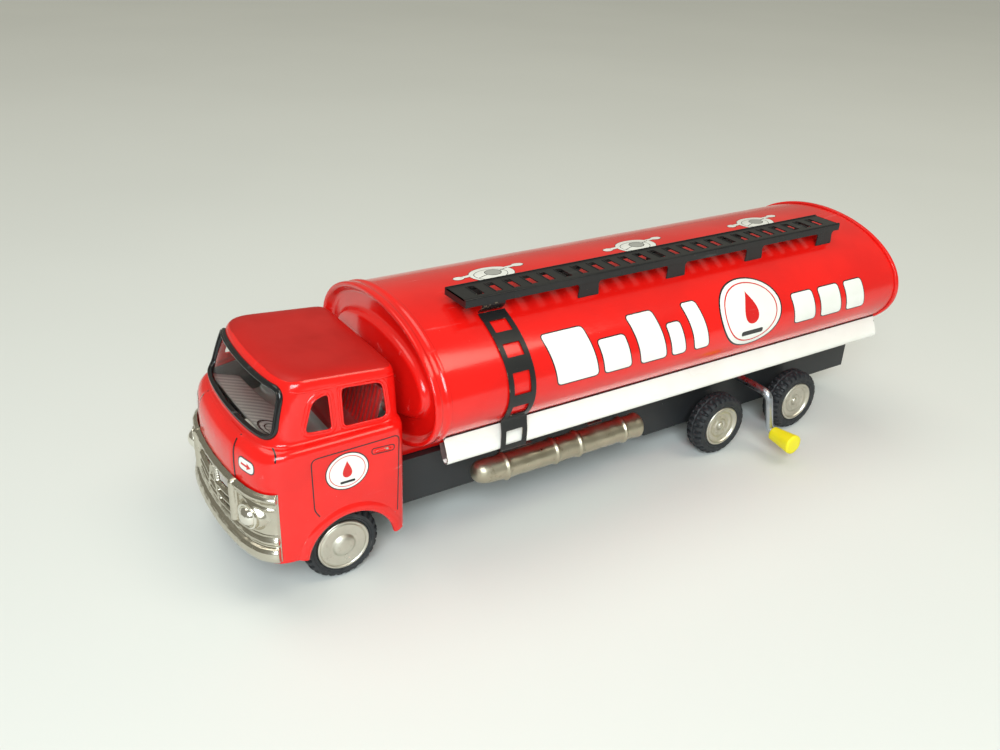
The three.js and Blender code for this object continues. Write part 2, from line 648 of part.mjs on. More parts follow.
// The cluster's shaft is one pinion mesh away from both the crank and the drive axle.
function clusterAxis() {
  const reach = pitchSum(CRANK_GEAR_TEETH, PINION_TEETH);
  const [dy, dz] = [CRANK_AXIS.y - DRIVE_AXIS.y, CRANK_AXIS.z - DRIVE_AXIS.z];
  const span = Math.hypot(dy, dz);
  const offset = Math.sqrt(reach * reach - (span * span) / 4);
  return {
    y: DRIVE_AXIS.y + dy / 2 + (offset * dz) / span,
    z: DRIVE_AXIS.z + dz / 2 - (offset * dy) / span,
  };
}
const CLUSTER_AXIS = clusterAxis();
const FLYWHEEL_REACH = pitchSum(CLUSTER_GEAR_TEETH, FLYWHEEL_PINION_TEETH);
const FLYWHEEL_AXIS = {
  y: CLUSTER_AXIS.y + FLYWHEEL_REACH * Math.cos(FLYWHEEL.angle),
  z: CLUSTER_AXIS.z + FLYWHEEL_REACH * Math.sin(FLYWHEEL.angle),
};

function addGears() {
  const smallBore = SMALL_SHAFT_RADIUS + GAP;
  const pinionPhase = 0;
  const clusterPhase = 0;
  const phaseOf = (axis, teeth) => meshPhase(CLUSTER_AXIS, PINION_TEETH, pinionPhase, axis, teeth);
  const gears = {
    crank_gear: {
      teeth: CRANK_GEAR_TEETH, x0: -1.2, x1: 1.2, ...CRANK_AXIS,
      bore: CRANK_WIRE_RADIUS + GAP, phase: phaseOf(CRANK_AXIS, CRANK_GEAR_TEETH),
    },
    drive_axle_gear: {
      teeth: AXLE_GEAR_TEETH, x0: -1.2, x1: 1.2, ...DRIVE_AXIS,
      bore: AXLE_RADIUS + GAP, phase: phaseOf(DRIVE_AXIS, AXLE_GEAR_TEETH),
    },
    cluster_pinion: {
      teeth: PINION_TEETH, x0: -1.6, x1: 1.6, ...CLUSTER_AXIS, bore: smallBore, phase: pinionPhase,
    },
    cluster_gear: {
      teeth: CLUSTER_GEAR_TEETH, x0: 3, x1: 5, ...CLUSTER_AXIS, bore: smallBore, phase: clusterPhase,
    },
    flywheel_pinion: {
      teeth: FLYWHEEL_PINION_TEETH, x0: 2.6, x1: 5.4, ...FLYWHEEL_AXIS, bore: smallBore,
      phase: meshPhase(CLUSTER_AXIS, CLUSTER_GEAR_TEETH, clusterPhase, FLYWHEEL_AXIS,
        FLYWHEEL_PINION_TEETH),
    },
  };
  for (const [name, sizes] of Object.entries(gears)) {
    addPiece(name, geometryOf(gear(sizes)), name.includes('pinion') ? STEEL() : BRASS());
  }
}

// --------------------------------------------------------------------- motor
function motorPlate(side) {
  const middle = side * MOTOR_PLATE_X;
  const corners = [[150, 9.6], [166, 5.9], [176, 5.9], [184.5, 18], [184.5, 29.3], [150, 29.3]];
  const plate = alongX(outline(roundedPoints(corners, 2.5)), middle - SHEET / 2, middle + SHEET / 2);
  const hole = ({ y, z }, radius) => rod(middle - 2, middle + 2, y, z, radius + GAP, 14);
  return cut(
    plate,
    hole(DRIVE_AXIS, AXLE_RADIUS),
    hole(CRANK_AXIS, CRANK_WIRE_RADIUS),
    hole(CLUSTER_AXIS, SMALL_SHAFT_RADIUS),
    hole(FLYWHEEL_AXIS, SMALL_SHAFT_RADIUS),
  );
}

const SPACERS = {
  motor_spacer_front: { y: 152.8, z: 22 },
  motor_spacer_rear: { y: 181.9, z: 24.2 },
  motor_spacer_lower: { y: 172.3, z: 7.9 },
};

function addMotor() {
  addPiece('motor_plate_left', geometryOf(motorPlate(1)), STEEL());
  addPiece('motor_plate_right', geometryOf(motorPlate(-1)), STEEL());
  const inside = MOTOR_PLATE_X - SHEET / 2 - GAP;
  for (const [name, { y, z }] of Object.entries(SPACERS)) {
    addPiece(name, geometryOf(rod(-inside, inside, y, z, 1.1, 12)), STEEL());
  }
  const reach = MOTOR_PLATE_X + 0.7;
  const clusterShaft = rod(-reach, reach, CLUSTER_AXIS.y, CLUSTER_AXIS.z, SMALL_SHAFT_RADIUS, 12);
  addPiece('cluster_shaft', geometryOf(clusterShaft), STEEL());
  const { y, z } = FLYWHEEL_AXIS;
  const flywheelShaft = rod(FLYWHEEL.x - 0.6, reach, y, z, SMALL_SHAFT_RADIUS, 12);
  addPiece('flywheel_shaft', geometryOf(flywheelShaft), STEEL());
  const rimX = FLYWHEEL.x + FLYWHEEL.width;
  const bore = SMALL_SHAFT_RADIUS + GAP;
  const wheel = turnedAlongX([
    [bore, FLYWHEEL.x], [FLYWHEEL.radius - 0.8, FLYWHEEL.x], [FLYWHEEL.radius, FLYWHEEL.x + 0.8],
    [FLYWHEEL.radius, rimX - 0.8], [FLYWHEEL.radius - 0.8, rimX], [bore, rimX], [bore, FLYWHEEL.x],
  ], y, z, 32);
  addPiece('flywheel', geometryOf(wheel), LEAD());
  addGears();
}

// --------------------------------------------------------------------- crank
function crankEnd() {
  return {
    y: CRANK_AXIS.y + CRANK_THROW * Math.sin(CRANK_LEAN),
    z: CRANK_AXIS.z - CRANK_THROW * Math.cos(CRANK_LEAN),
  };
}

// One wire: the shaft, a bend down the arm, and a bend out into the grip's pin.
function crankRod() {
  const end = crankEnd();
  const bend = 3.2;
  const share = bend / CRANK_THROW;
  const at = (x, part) => new THREE.Vector3(
    x,
    CRANK_AXIS.y + (end.y - CRANK_AXIS.y) * part,
    CRANK_AXIS.z + (end.z - CRANK_AXIS.z) * part,
  );
  const pinEnd = CRANK_ARM_X + CRANK_WIRE_RADIUS + GAP + GRIP.length - 4;
  const route = new THREE.CurvePath();
  route.add(new THREE.LineCurve3(at(-MOTOR_PLATE_X - 0.8, 0), at(CRANK_ARM_X - bend, 0)));
  route.add(new THREE.QuadraticBezierCurve3(
    at(CRANK_ARM_X - bend, 0), at(CRANK_ARM_X, 0), at(CRANK_ARM_X, share),
  ));
  route.add(new THREE.LineCurve3(at(CRANK_ARM_X, share), at(CRANK_ARM_X, 1 - share / 2)));
  route.add(new THREE.QuadraticBezierCurve3(
    at(CRANK_ARM_X, 1 - share / 2), at(CRANK_ARM_X, 1), at(CRANK_ARM_X + bend / 2, 1),
  ));
  route.add(new THREE.LineCurve3(at(CRANK_ARM_X + bend / 2, 1), at(pinEnd, 1)));
  const section = outline(circlePoints(0, 0, CRANK_WIRE_RADIUS, 10));
  const wire = new THREE.ExtrudeGeometry(section, { steps: 48, extrudePath: route });
  return solid(wire);
}

function crankGrip() {
  const { y, z } = crankEnd();
  const start = CRANK_ARM_X + CRANK_WIRE_RADIUS + GAP;
  const end = start + GRIP.length;
  const bore = CRANK_WIRE_RADIUS + GAP;
  return turnedAlongX([
    [bore, start], [GRIP.innerRadius - 0.4, start], [GRIP.innerRadius, start + 0.5],
    [GRIP.outerRadius, end - 1.4], [GRIP.outerRadius - 0.9, end], [0, end],
    [0, end - 3.4], [bore, end - 3.4], [bore, start],
  ], y, z, 12);
}

// ------------------------------------------------------------------ assembly
addPiece('chassis_frame', geometryOf(chassisFrame()), BLACK());
addPiece('cab_shell', geometryOf(cabShell()), RED());
addPiece('windshield_frame', geometryOf(windshieldFrame()), BLACK());
addPiece('windshield_glazing', geometryOf(windshieldGlazing()), CLEAR());
addPiece('seat_insert', geometryOf(seatInsert()), GREY());
addPiece('grille_bumper', geometryOf(grilleBumper()), NICKEL());
addPiece('tank_shell', geometryOf(tankShell()), RED());
addPiece('tank_front_cap', geometryOf(tankFrontCap()), RED());
addPiece('tank_rear_cap', geometryOf(tankRearCap()), RED());
addPiece('tank_cradle', geometryOf(tankCradle()), RED());
addPiece('skirt_left', geometryOf(skirt(1)), WHITE());
addPiece('skirt_right', geometryOf(skirt(-1)), WHITE());
addPiece('walkway', geometryOf(walkway()), BLACK());
addPiece('ladder', geometryOf(ladder()), BLACK());
addPiece('exhaust_pipe', geometryOf(exhaustPipe()), NICKEL());
addAxle('front', FRONT_AXLE_Y, FRONT_WHEEL);
addAxle('drive', DRIVE_AXLE_Y, REAR_WHEEL);
addAxle('rear', REAR_AXLE_Y, REAR_WHEEL);
addPiece('crank_rod', geometryOf(crankRod()), STEEL());
addPiece('crank_grip', geometryOf(crankGrip()), YELLOW());
addMotor();

const bounds = new THREE.Box3().setFromObject(truck, true);
const middle = bounds.getCenter(new THREE.Vector3());
truck.position.set(-middle.x, -middle.y, -bounds.min.z);

export default truck;
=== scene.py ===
import json
import math
import bmesh
import bpy
import numpy as np
from mathutils import Matrix, Vector
from mathutils.bvhtree import BVHTree
from mathutils.geometry import tessellate_polygon

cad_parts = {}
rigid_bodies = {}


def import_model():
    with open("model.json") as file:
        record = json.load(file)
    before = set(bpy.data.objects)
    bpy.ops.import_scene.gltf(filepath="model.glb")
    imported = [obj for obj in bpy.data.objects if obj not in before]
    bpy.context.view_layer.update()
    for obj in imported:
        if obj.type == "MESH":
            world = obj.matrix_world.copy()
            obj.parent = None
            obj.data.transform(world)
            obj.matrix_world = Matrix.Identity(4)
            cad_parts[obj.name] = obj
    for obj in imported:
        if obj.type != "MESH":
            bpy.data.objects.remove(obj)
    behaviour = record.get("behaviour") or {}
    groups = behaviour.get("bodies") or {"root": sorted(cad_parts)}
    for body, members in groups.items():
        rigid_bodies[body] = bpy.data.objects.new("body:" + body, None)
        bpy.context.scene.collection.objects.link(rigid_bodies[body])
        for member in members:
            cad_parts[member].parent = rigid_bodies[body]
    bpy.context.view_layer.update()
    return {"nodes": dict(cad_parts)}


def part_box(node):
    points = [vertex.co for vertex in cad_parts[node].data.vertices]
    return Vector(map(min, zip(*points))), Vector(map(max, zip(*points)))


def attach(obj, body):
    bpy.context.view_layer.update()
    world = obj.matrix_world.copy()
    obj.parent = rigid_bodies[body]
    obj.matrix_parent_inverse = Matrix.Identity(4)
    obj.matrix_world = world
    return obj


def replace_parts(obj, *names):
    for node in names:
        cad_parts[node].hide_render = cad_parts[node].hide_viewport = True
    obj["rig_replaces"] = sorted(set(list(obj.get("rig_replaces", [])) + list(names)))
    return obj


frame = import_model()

# Shapes are worked out in "truck millimetres": x = 0 on the centre plane, y = 0 at the front axle,
# z = 0 on the ground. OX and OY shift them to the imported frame, whose origin is under the box's middle.
LOW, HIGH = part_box("tank_shell")
OX = -(LOW.x + HIGH.x) / 2 * 1000
OY = 28.2 - LOW.y * 1000


def to_frame(points):
    p = np.asarray(points, float).reshape(-1, 3) - (OX, OY, 0)
    return p / 1000


# ------------------------------------------------------------------ materials
class Nodes:
    """A small helper that adds shader nodes and joins them."""

    def __init__(self, name):
        self.mat = bpy.data.materials.new(name)
        self.mat.use_nodes = True
        self.tree = self.mat.node_tree
        self.tree.nodes.clear()
        self.out = self.add("ShaderNodeOutputMaterial")
        self.bsdf = self.add("ShaderNodeBsdfPrincipled")
        self.link(self.bsdf.outputs[0], self.out.inputs[0])
        self.coord = self.add("ShaderNodeTexCoord").outputs["Object"]

    def add(self, kind, **values):
        node = self.tree.nodes.new(kind)
        for key, value in values.items():
            setattr(node, key, value)
        return node

    def link(self, a, b):
        self.tree.links.new(a, b)

    def put(self, socket, value):
        if isinstance(value, bpy.types.NodeSocket):
            self.link(value, socket)
        else:
            socket.default_value = value

    def noise(self, scale, detail=3.0, stretch=(1, 1, 1), rough=0.55):
        mapping = self.add("ShaderNodeMapping")
        mapping.inputs["Scale"].default_value = stretch
        self.link(self.coord, mapping.inputs[0])
        node = self.add("ShaderNodeTexNoise")
        node.inputs["Scale"].default_value = scale
        node.inputs["Detail"].default_value = detail
        node.inputs["Roughness"].default_value = rough
        self.link(mapping.outputs[0], node.inputs["Vector"])
        return node.outputs["Fac"]

    def ramp(self, value, low, high, a=0.0, b=1.0):
        node = self.add("ShaderNodeMapRange", interpolation_type="SMOOTHSTEP")
        self.put(node.inputs[0], value)
        for i, v in enumerate((low, high, a, b)):
            node.inputs[i + 1].default_value = v
        return node.outputs[0]

    def math(self, op, a, b=0.0, clamp=False):
        node = self.add("ShaderNodeMath", operation=op, use_clamp=clamp)
        self.put(node.inputs[0], a)
        self.put(node.inputs[1], b)
        return node.outputs[0]

    def mix(self, fac, a, b):
        node = self.add("ShaderNodeMix", data_type="RGBA")
        self.put(node.inputs[0], fac)
        self.put(node.inputs[6], a)
        self.put(node.inputs[7], b)
        return node.outputs[2]

    def attribute(self, name):
        return self.add("ShaderNodeAttribute", attribute_name=name).outputs["Fac"]

    def bump(self, height, strength, distance=0.0004):
        node = self.add("ShaderNodeBump")
        node.inputs["Strength"].default_value = strength
        node.inputs["Distance"].default_value = distance
        self.put(node.inputs["Height"], height)
        self.link(node.outputs[0], self.bsdf.inputs["Normal"])

    def set(self, **values):
        for key, value in values.items():
            self.put(self.bsdf.inputs[key.replace("_", " ")], value)


def rgba(r, g, b):
    return (r, g, b, 1.0)


def litho(name, colour, deep, rough=0.16, coat=0.3, chips=0.62, bare=(0.52, 0.5, 0.45), shine=0.45):
    """Printed tinplate: glossy ink with slow colour drift, fine scuffs and chips at the folds."""
    n = Nodes(name)
    drift = n.noise(38, 3.0)
    fine = n.noise(900, 4.0)
    scuff = n.ramp(n.noise(240, 5.0, (1, 0.12, 1)), 0.66, 0.74)
    speck = n.ramp(n.noise(1500, 2.0), 0.76, 0.8)
    edge = n.math("MULTIPLY", n.attribute("wear"), n.ramp(n.noise(420, 5.0), 0.35, 0.75))
    chip = n.ramp(edge, chips * 0.55, chips * 0.75)
    ink = n.mix(n.ramp(drift, 0.3, 0.7), rgba(*colour), rgba(*deep))
    scuffed = n.mix(n.math("MULTIPLY", scuff, 0.16), ink, rgba(*[min(1, c * 0.6 + 0.25) for c in colour]))
    marked = n.mix(n.math("MULTIPLY", speck, 0.35), scuffed, rgba(*bare))
    n.set(Base_Color=n.mix(chip, marked, rgba(*bare)), Metallic=n.math("MULTIPLY", chip, 0.9))
    worn = n.math("ADD", n.ramp(drift, 0.2, 0.8, rough * 0.8, rough * 1.5), n.math("MULTIPLY", scuff, 0.14))
    n.set(Roughness=n.math("ADD", worn, n.math("MULTIPLY", chip, 0.15)))
    n.set(Coat_Weight=coat, Coat_Roughness=0.08, Specular_IOR_Level=shine)
    height = n.math("ADD", n.math("MULTIPLY", n.noise(70, 2.0), 1.0), n.math("MULTIPLY", fine, 0.04))
    n.bump(n.math("SUBTRACT", height, n.math("MULTIPLY", chip, 0.12)), 0.22, 0.0006)
    return n.mat


def plated(name, colour, dark, rough=0.2, spots=0.5):
    """Thin nickel plating on tin: warm, a little cloudy, with tarnish and tiny pits."""
    n = Nodes(name)
    cloud = n.noise(120, 5.0)
    tarnish = n.ramp(n.noise(330, 6.0, rough=0.7), 0.56, 0.74)
    pits = n.ramp(n.noise(1900, 3.0), 0.68, 0.74)
    stain = n.math("MULTIPLY", n.math("MAXIMUM", tarnish, pits), spots)
    base = n.mix(n.ramp(cloud, 0.3, 0.7), rgba(*colour), rgba(*[c * 0.88 for c in colour]))
    n.set(Base_Color=n.mix(stain, base, rgba(*dark)))
    n.set(Metallic=n.ramp(stain, 0.0, 1.0, 1.0, 0.75))
    n.set(Roughness=n.math(
        "ADD", n.ramp(cloud, 0.25, 0.75, rough * 0.75, rough * 1.5), n.math("MULTIPLY", stain, 0.25)
    ))
    n.bump(n.math("ADD", n.noise(90, 3.0), n.math("MULTIPLY", n.noise(1400, 3.0), 0.06)), 0.25, 0.0005)
    return n.mat


def steel_wire(name, colour, rough=0.32, grain=(1, 1, 1)):
    n = Nodes(name)
    lines = n.noise(700, 4.0, grain)
    stain = n.ramp(n.noise(160, 5.0), 0.5, 0.75)
    n.set(Base_Color=n.mix(n.math("MULTIPLY", stain, 0.5), rgba(*colour), rgba(*[c * 0.45 for c in colour])))
    n.set(Metallic=1.0, Roughness=n.ramp(lines, 0.3, 0.7, rough * 0.8, rough * 1.4))
    n.bump(lines, 0.25, 0.0002)
    return n.mat


def rubber(name, colour=(0.021, 0.023, 0.026)):
    n = Nodes(name)
    dust = n.ramp(n.noise(210, 6.0, rough=0.7), 0.45, 0.8)
    rise = n.math("MULTIPLY", dust, n.math("ADD", n.attribute("wear"), 0.25, True))
    n.set(Base_Color=n.mix(rise, rgba(*colour), rgba(0.09, 0.092, 0.09)))
    n.set(Roughness=n.ramp(n.noise(500, 3.0), 0.3, 0.7, 0.5, 0.72), Specular_IOR_Level=0.4)
    n.bump(n.noise(1600, 3.0), 0.3, 0.0002)
    return n.mat


def plastic(name, colour, deep, rough=0.38):
    n = Nodes(name)
    wear = n.ramp(n.noise(260, 5.0), 0.55, 0.8)
    n.set(Base_Color=n.mix(n.math("MULTIPLY", wear, 0.5), rgba(*colour), rgba(*deep)))
    n.set(Roughness=n.ramp(n.noise(400, 3.0), 0.3, 0.7, rough * 0.8, rough * 1.3))
    n.set(Subsurface_Weight=0.08, Subsurface_Scale=0.002)
    n.bump(n.noise(700, 3.0), 0.25, 0.0003)
    return n.mat


def clear_sheet(name):
    n = Nodes(name)
    scratch = n.ramp(n.noise(500, 5.0, (1, 1, 0.15)), 0.62, 0.75)
    n.set(Base_Color=rgba(0.86, 0.88, 0.86), Transmission_Weight=1.0, IOR=1.12)
    n.set(Roughness=n.ramp(scratch, 0, 1, 0.04, 0.22), Specular_IOR_Level=0.6)
    n.bump(n.noise(60, 2.0), 0.1, 0.0003)
    return n.mat


M = {
    "red": litho("tin_red", (0.80, 0.009, 0.006), (0.70, 0.007, 0.005)),
    # Painted shade: a darker, matter copy of the red tin for the cab's up-facing roof faces. The roof is the
    # same sheet as the rest of the cab.
    "roof": litho(
        "tin_red_roof_painted_shade", (0.50, 0.008, 0.006), (0.40, 0.007, 0.005), rough=0.36, coat=0.0, shine=0.3
    ),
    "white": litho("tin_white", (0.88, 0.87, 0.82), (0.82, 0.80, 0.74), rough=0.22, bare=(0.2, 0.15, 0.1)),
    "black": litho(
        "tin_black", (0.012, 0.012, 0.013), (0.018, 0.018, 0.018), rough=0.26, coat=0.08,
        bare=(0.3, 0.26, 0.18), shine=0.28
    ),
    "chassis": litho(
        "tin_black_chassis", (0.018, 0.02, 0.022), (0.026, 0.028, 0.03), rough=0.36, coat=0.05,
        shine=0.35
    ),
    "bare": steel_wire("tin_bare", (0.5, 0.5, 0.49), 0.35, (1, 0.1, 1)),
    "nickel": plated("nickel", (0.62, 0.58, 0.49), (0.2, 0.16, 0.1)),
    "nickel_aged": plated("nickel_aged", (0.52, 0.47, 0.36), (0.17, 0.13, 0.08), 0.33, 0.6),
    "nickel_bright": plated("nickel_bright", (0.84, 0.81, 0.73), (0.4, 0.33, 0.22), 0.13, 0.3),
    "nickel_matt": plated("nickel_matt", (0.70, 0.67, 0.58), (0.33, 0.28, 0.2), 0.36, 0.45),
    "steel": steel_wire("steel_wire", (0.47, 0.5, 0.55)),
    "brass": steel_wire("brass_sheet", (0.58, 0.41, 0.16), 0.36),
    "lead": steel_wire("flywheel_grey", (0.22, 0.23, 0.24), 0.5),
    "rubber": rubber("tyre_rubber"),
    "gasket": litho(
        "gasket_black", (0.007, 0.007, 0.008), (0.01, 0.01, 0.011), rough=0.14, chips=5.0, coat=0.1
    ),
    "grip": plastic("grip_yellow", (0.86, 0.76, 0.012), (0.72, 0.6, 0.01)),
    "clear": clear_sheet("celluloid"),
    "ink": litho("ink_black", (0.01, 0.01, 0.012), (0.014, 0.014, 0.016), rough=0.2, chips=5.0),
    "ink_white": litho("ink_white", (0.86, 0.86, 0.82), (0.80, 0.80, 0.75), rough=0.16, chips=5.0),
    "ink_red": litho("ink_red", (0.66, 0.012, 0.012), (0.6, 0.01, 0.01), rough=0.16, chips=5.0),
    "print_grey": litho("ink_grey", (0.40, 0.40, 0.37), (0.33, 0.33, 0.31), rough=0.3, coat=0.1),
    "print_red": litho("ink_seat", (0.34, 0.03, 0.03), (0.28, 0.025, 0.025), rough=0.34, coat=0.05),
}


SKIN = 0.35  # thickness given to thin tin, in mm
LIGHT_WEAR = 0.12  # wear of the walkway, the windshield frame and thin beads; all else has 0.55


# --------------------------------------------------------------- mesh helpers
def finish_mesh(mesh, sharp, worn):
    """Shades smooth, marks sharp folds, and stores how strongly each point is a fold in `wear`."""
    bm = bmesh.new()
    bm.from_mesh(mesh)
    wear = np.zeros(len(bm.verts))
    limit = math.radians(sharp)
    for edge in bm.edges:
        if len(edge.link_faces) == 2:
            angle = edge.calc_face_angle_signed(0.0)
            edge.smooth = abs(angle) < limit
            for v in edge.verts:
                wear[v.index] = max(wear[v.index], min(1.0, angle / 0.5))
        else:
            for v in edge.verts:
                wear[v.index] = 1.0
    for face in bm.faces:
        face.smooth = True
    bm.to_mesh(mesh)
    bm.free()
    store = mesh.attributes.new("wear", "FLOAT", "POINT")
    store.data.foreach_set("value", (wear * worn).astype(np.float32))


def piece(
    name, points, faces, mat, body="truck_body", stands_for=(), slot=None, sharp=38, solidify=0.0,
    offset=-1.0, worn=0.55
):
    mesh = bpy.data.meshes.new(name)
    mesh.from_pydata([tuple(p) for p in to_frame(points)], [], [tuple(int(i) for i in f) for f in faces])
    mesh.validate()
    obj = bpy.data.objects.new(name, mesh)
    bpy.context.scene.collection.objects.link(obj)
    return settle(obj, mat, body, stands_for, sharp, solidify, offset, worn)


def settle(
    obj, mat, body="truck_body", stands_for=(), sharp=38, solidify=0.0, offset=-1.0,
    worn=0.55
):
    if solidify:
        mod = obj.modifiers.new("sheet", "SOLIDIFY")
        mod.thickness = solidify / 1000
        mod.offset = offset
        mod.use_even_offset = True
        bake(obj)
    finish_mesh(obj.data, sharp, worn)
    obj.data.materials.clear()
    obj.data.materials.append(M[mat])
    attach(obj, body)
    if stands_for:
        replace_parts(obj, *([stands_for] if isinstance(stands_for, str) else stands_for))
    return obj


def bake(obj):
    """Applies the object's modifiers to its mesh."""
    bpy.context.view_layer.update()
    graph = bpy.context.evaluated_depsgraph_get()
    mesh = bpy.data.meshes.new_from_object(obj.evaluated_get(graph))
    old = obj.data
    obj.modifiers.clear()
    obj.data = mesh
    bpy.data.meshes.remove(old)


def grid_faces(rows, cols, wrap_cols=False, wrap_rows=False, flip=False):
    faces = []
    for r in range(rows if wrap_rows else rows - 1):
        for c in range(cols if wrap_cols else cols - 1):
            r2, c2 = (r + 1) % rows, (c + 1) % cols
            quad = (r * cols + c, r * cols + c2, r2 * cols + c2, r2 * cols + c)
            faces.append(quad[::-1] if flip else quad)
    return faces


def rounded(points, radius, steps=5, closed=True):
    """A polygon or line with its corners rounded."""
    pts = [Vector((*p, 0)) for p in points]
    out = []
    for i, p in enumerate(pts):
        if not closed and i in (0, len(pts) - 1):
            out.append((p.x, p.y))
            continue
        a, b = pts[i - 1] - p, pts[(i + 1) % len(pts)] - p
        r = radius[i] if isinstance(radius, (list, tuple)) else radius
        r = min(r, a.length * 0.48, b.length * 0.48)
        if r <= 0.01:
            out.append((p.x, p.y))
            continue
        s, e = p + a.normalized() * r, p + b.normalized() * r
        for k in range(steps + 1):
            t = k / steps
            q = s * (1 - t) ** 2 + p * (2 * t * (1 - t)) + e * t * t
            out.append((q.x, q.y))
    return out


def offset_line(points, distance, closed=True):
    """Moves a line sideways; positive is outwards for an anticlockwise polygon."""
    p = np.array(points, float)
    before, after = np.roll(p, 1, 0), np.roll(p, -1, 0)
    if not closed:
        before[0], after[-1] = p[0] * 2 - p[1], p[-1] * 2 - p[-2]
    a, b = p - before, after - p
    a /= np.maximum(np.linalg.norm(a, axis=1, keepdims=True), 1e-9)
    b /= np.maximum(np.linalg.norm(b, axis=1, keepdims=True), 1e-9)
    along = a + b
    along /= np.maximum(np.linalg.norm(along, axis=1, keepdims=True), 1e-9)
    cosine = np.clip((along * b).sum(1), 0.5, 1)
    normal = np.stack([along[:, 1], -along[:, 0]], 1)
    return p + normal * (distance / cosine)[:, None]


def flat_mesh(outer, holes=(), step=1.0):
    """Triangles of a flat outline, sliced finely enough to be wrapped on a curved surface."""
    loops = [[Vector((u, v, 0)) for u, v in loop] for loop in (outer, *holes)]
    corners = [p for loop in loops for p in loop]
    bm = bmesh.new()
    verts = [bm.verts.new(p) for p in corners]
    for tri in tessellate_polygon(loops):
        try:
            bm.faces.new([verts[i] for i in tri])
        except ValueError:
            pass
    slice_mesh(bm, step)
    return unpack(bm)


def slice_mesh(bm, step):
    lows = [min(v.co[k] for v in bm.verts) for k in (0, 1)]
    highs = [max(v.co[k] for v in bm.verts) for k in (0, 1)]
    for k in (0, 1):
        at = math.ceil(lows[k] / step) * step
        while at < highs[k]:
            place = Vector((0, 0, 0))
            place[k] = at
            normal = Vector((0, 0, 0))
            normal[k] = 1
            geom = bm.verts[:] + bm.edges[:] + bm.faces[:]
            bmesh.ops.bisect_plane(bm, geom=geom, dist=1e-5, plane_co=place, plane_no=normal)
            at += step


def unpack(bm):
    bmesh.ops.recalc_face_normals(bm, faces=bm.faces)
    bm.verts.index_update()
    points = np.array([(v.co.x, v.co.y) for v in bm.verts])
    faces = [[v.index for v in f.verts] for f in bm.faces]
    bm.free()
    return points, faces


def flat_strip(points, width, closed=True, step=1.0):
    inner, outer = offset_line(points, -width / 2, closed), offset_line(points, width / 2, closed)
    n = len(points)
    bm = bmesh.new()
    a = [bm.verts.new((u, v, 0)) for u, v in inner]
    b = [bm.verts.new((u, v, 0)) for u, v in outer]
    for i in range(n if closed else n - 1):
        j = (i + 1) % n
        bm.faces.new((a[i], a[j], b[j], b[i]))
    slice_mesh(bm, step)
    return unpack(bm)


def decal(name, shape, place, mat, body="truck_body", slot=None, facing=None):
    """Wraps a flat shape on a surface: place(u, v) gives the point. facing is about its outward side."""
    points, faces = shape
    world = np.array([place(u, v) for u, v in points])
    first = world[faces[0]]
    normal = np.cross(first[1] - first[0], first[2] - first[0])
    if facing is not None and normal @ np.array(facing) < 0:
        faces = [f[::-1] for f in faces]
    return piece(name, world, faces, mat, body, slot=slot, sharp=60)


def ellipse(cu, cv, ru, rv, count=48, start=0.0):
    return [
        (
            cu + ru * math.cos(start + 2 * math.pi * i / count),
            cv + rv * math.sin(start + 2 * math.pi * i / count)
        )
        for i in range(count)
    ]


def tube(path, radius, sides=12, closed=False, flat=1.0):
    """Points and faces of a round bar along a path; radius may be one number or one per point."""
    p = np.array(path, float)
    n = len(p)
    radii = np.full(n, radius) if np.isscalar(radius) else np.array(radius, float)
    ahead, behind = np.roll(p, -1, 0), np.roll(p, 1, 0)
    if not closed:
        ahead[-1], behind[0] = p[-1] * 2 - p[-2], p[0] * 2 - p[1]
    tangents = ahead - behind
    tangents /= np.linalg.norm(tangents, axis=1, keepdims=True)
    normal = np.cross(tangents[0], (0.3, 0.2, 0.93))
    rows = []
    for i in range(n):
        normal = normal - tangents[i] * (normal @ tangents[i])
        normal /= np.linalg.norm(normal)
        side = np.cross(tangents[i], normal)
        turn = np.arange(sides) * 2 * math.pi / sides
        rows.append(p[i] + radii[i] * (np.cos(turn)[:, None] * normal + np.sin(turn)[:, None] * side * flat))
    points = np.concatenate(rows)
    faces = grid_faces(n, sides, wrap_cols=True, wrap_rows=closed)
    if not closed:
        faces.append(tuple(range(sides))[::-1])
        faces.append(tuple((n - 1) * sides + i for i in range(sides)))
    return points, faces


def cut_with(obj, cutters):
    for c in cutters:
        mod = obj.modifiers.new("cut", "BOOLEAN")
        mod.operation = "DIFFERENCE"
        mod.solver = "EXACT"
        mod.object = c
    bake(obj)
    for c in cutters:
        bpy.data.objects.remove(c)


def raw_object(name, points, faces):
    mesh = bpy.data.meshes.new(name)
    mesh.from_pydata([tuple(p) for p in to_frame(points)], [], [tuple(int(i) for i in f) for f in faces])
    bm = bmesh.new()
    bm.from_mesh(mesh)
    bmesh.ops.recalc_face_normals(bm, faces=bm.faces)
    bm.to_mesh(mesh)
    bm.free()
    obj = bpy.data.objects.new(name, mesh)
    bpy.context.scene.collection.objects.link(obj)
    return obj


def prism(name, outline, axis, low, high):
    """A closed prism: the outline is in the two other axes, in x, y, z order."""
    n = len(outline)
    rows = []
    for level in (low, high):
        for u, v in outline:
            rows.append((level, u, v) if axis == "x" else (u, level, v) if axis == "y" else (u, v, level))
    faces = [(i, (i + 1) % n, n + (i + 1) % n, n + i) for i in range(n)]
    faces += [tuple(range(n))[::-1], tuple(range(n, 2 * n))]
    return raw_object(name, rows, faces)


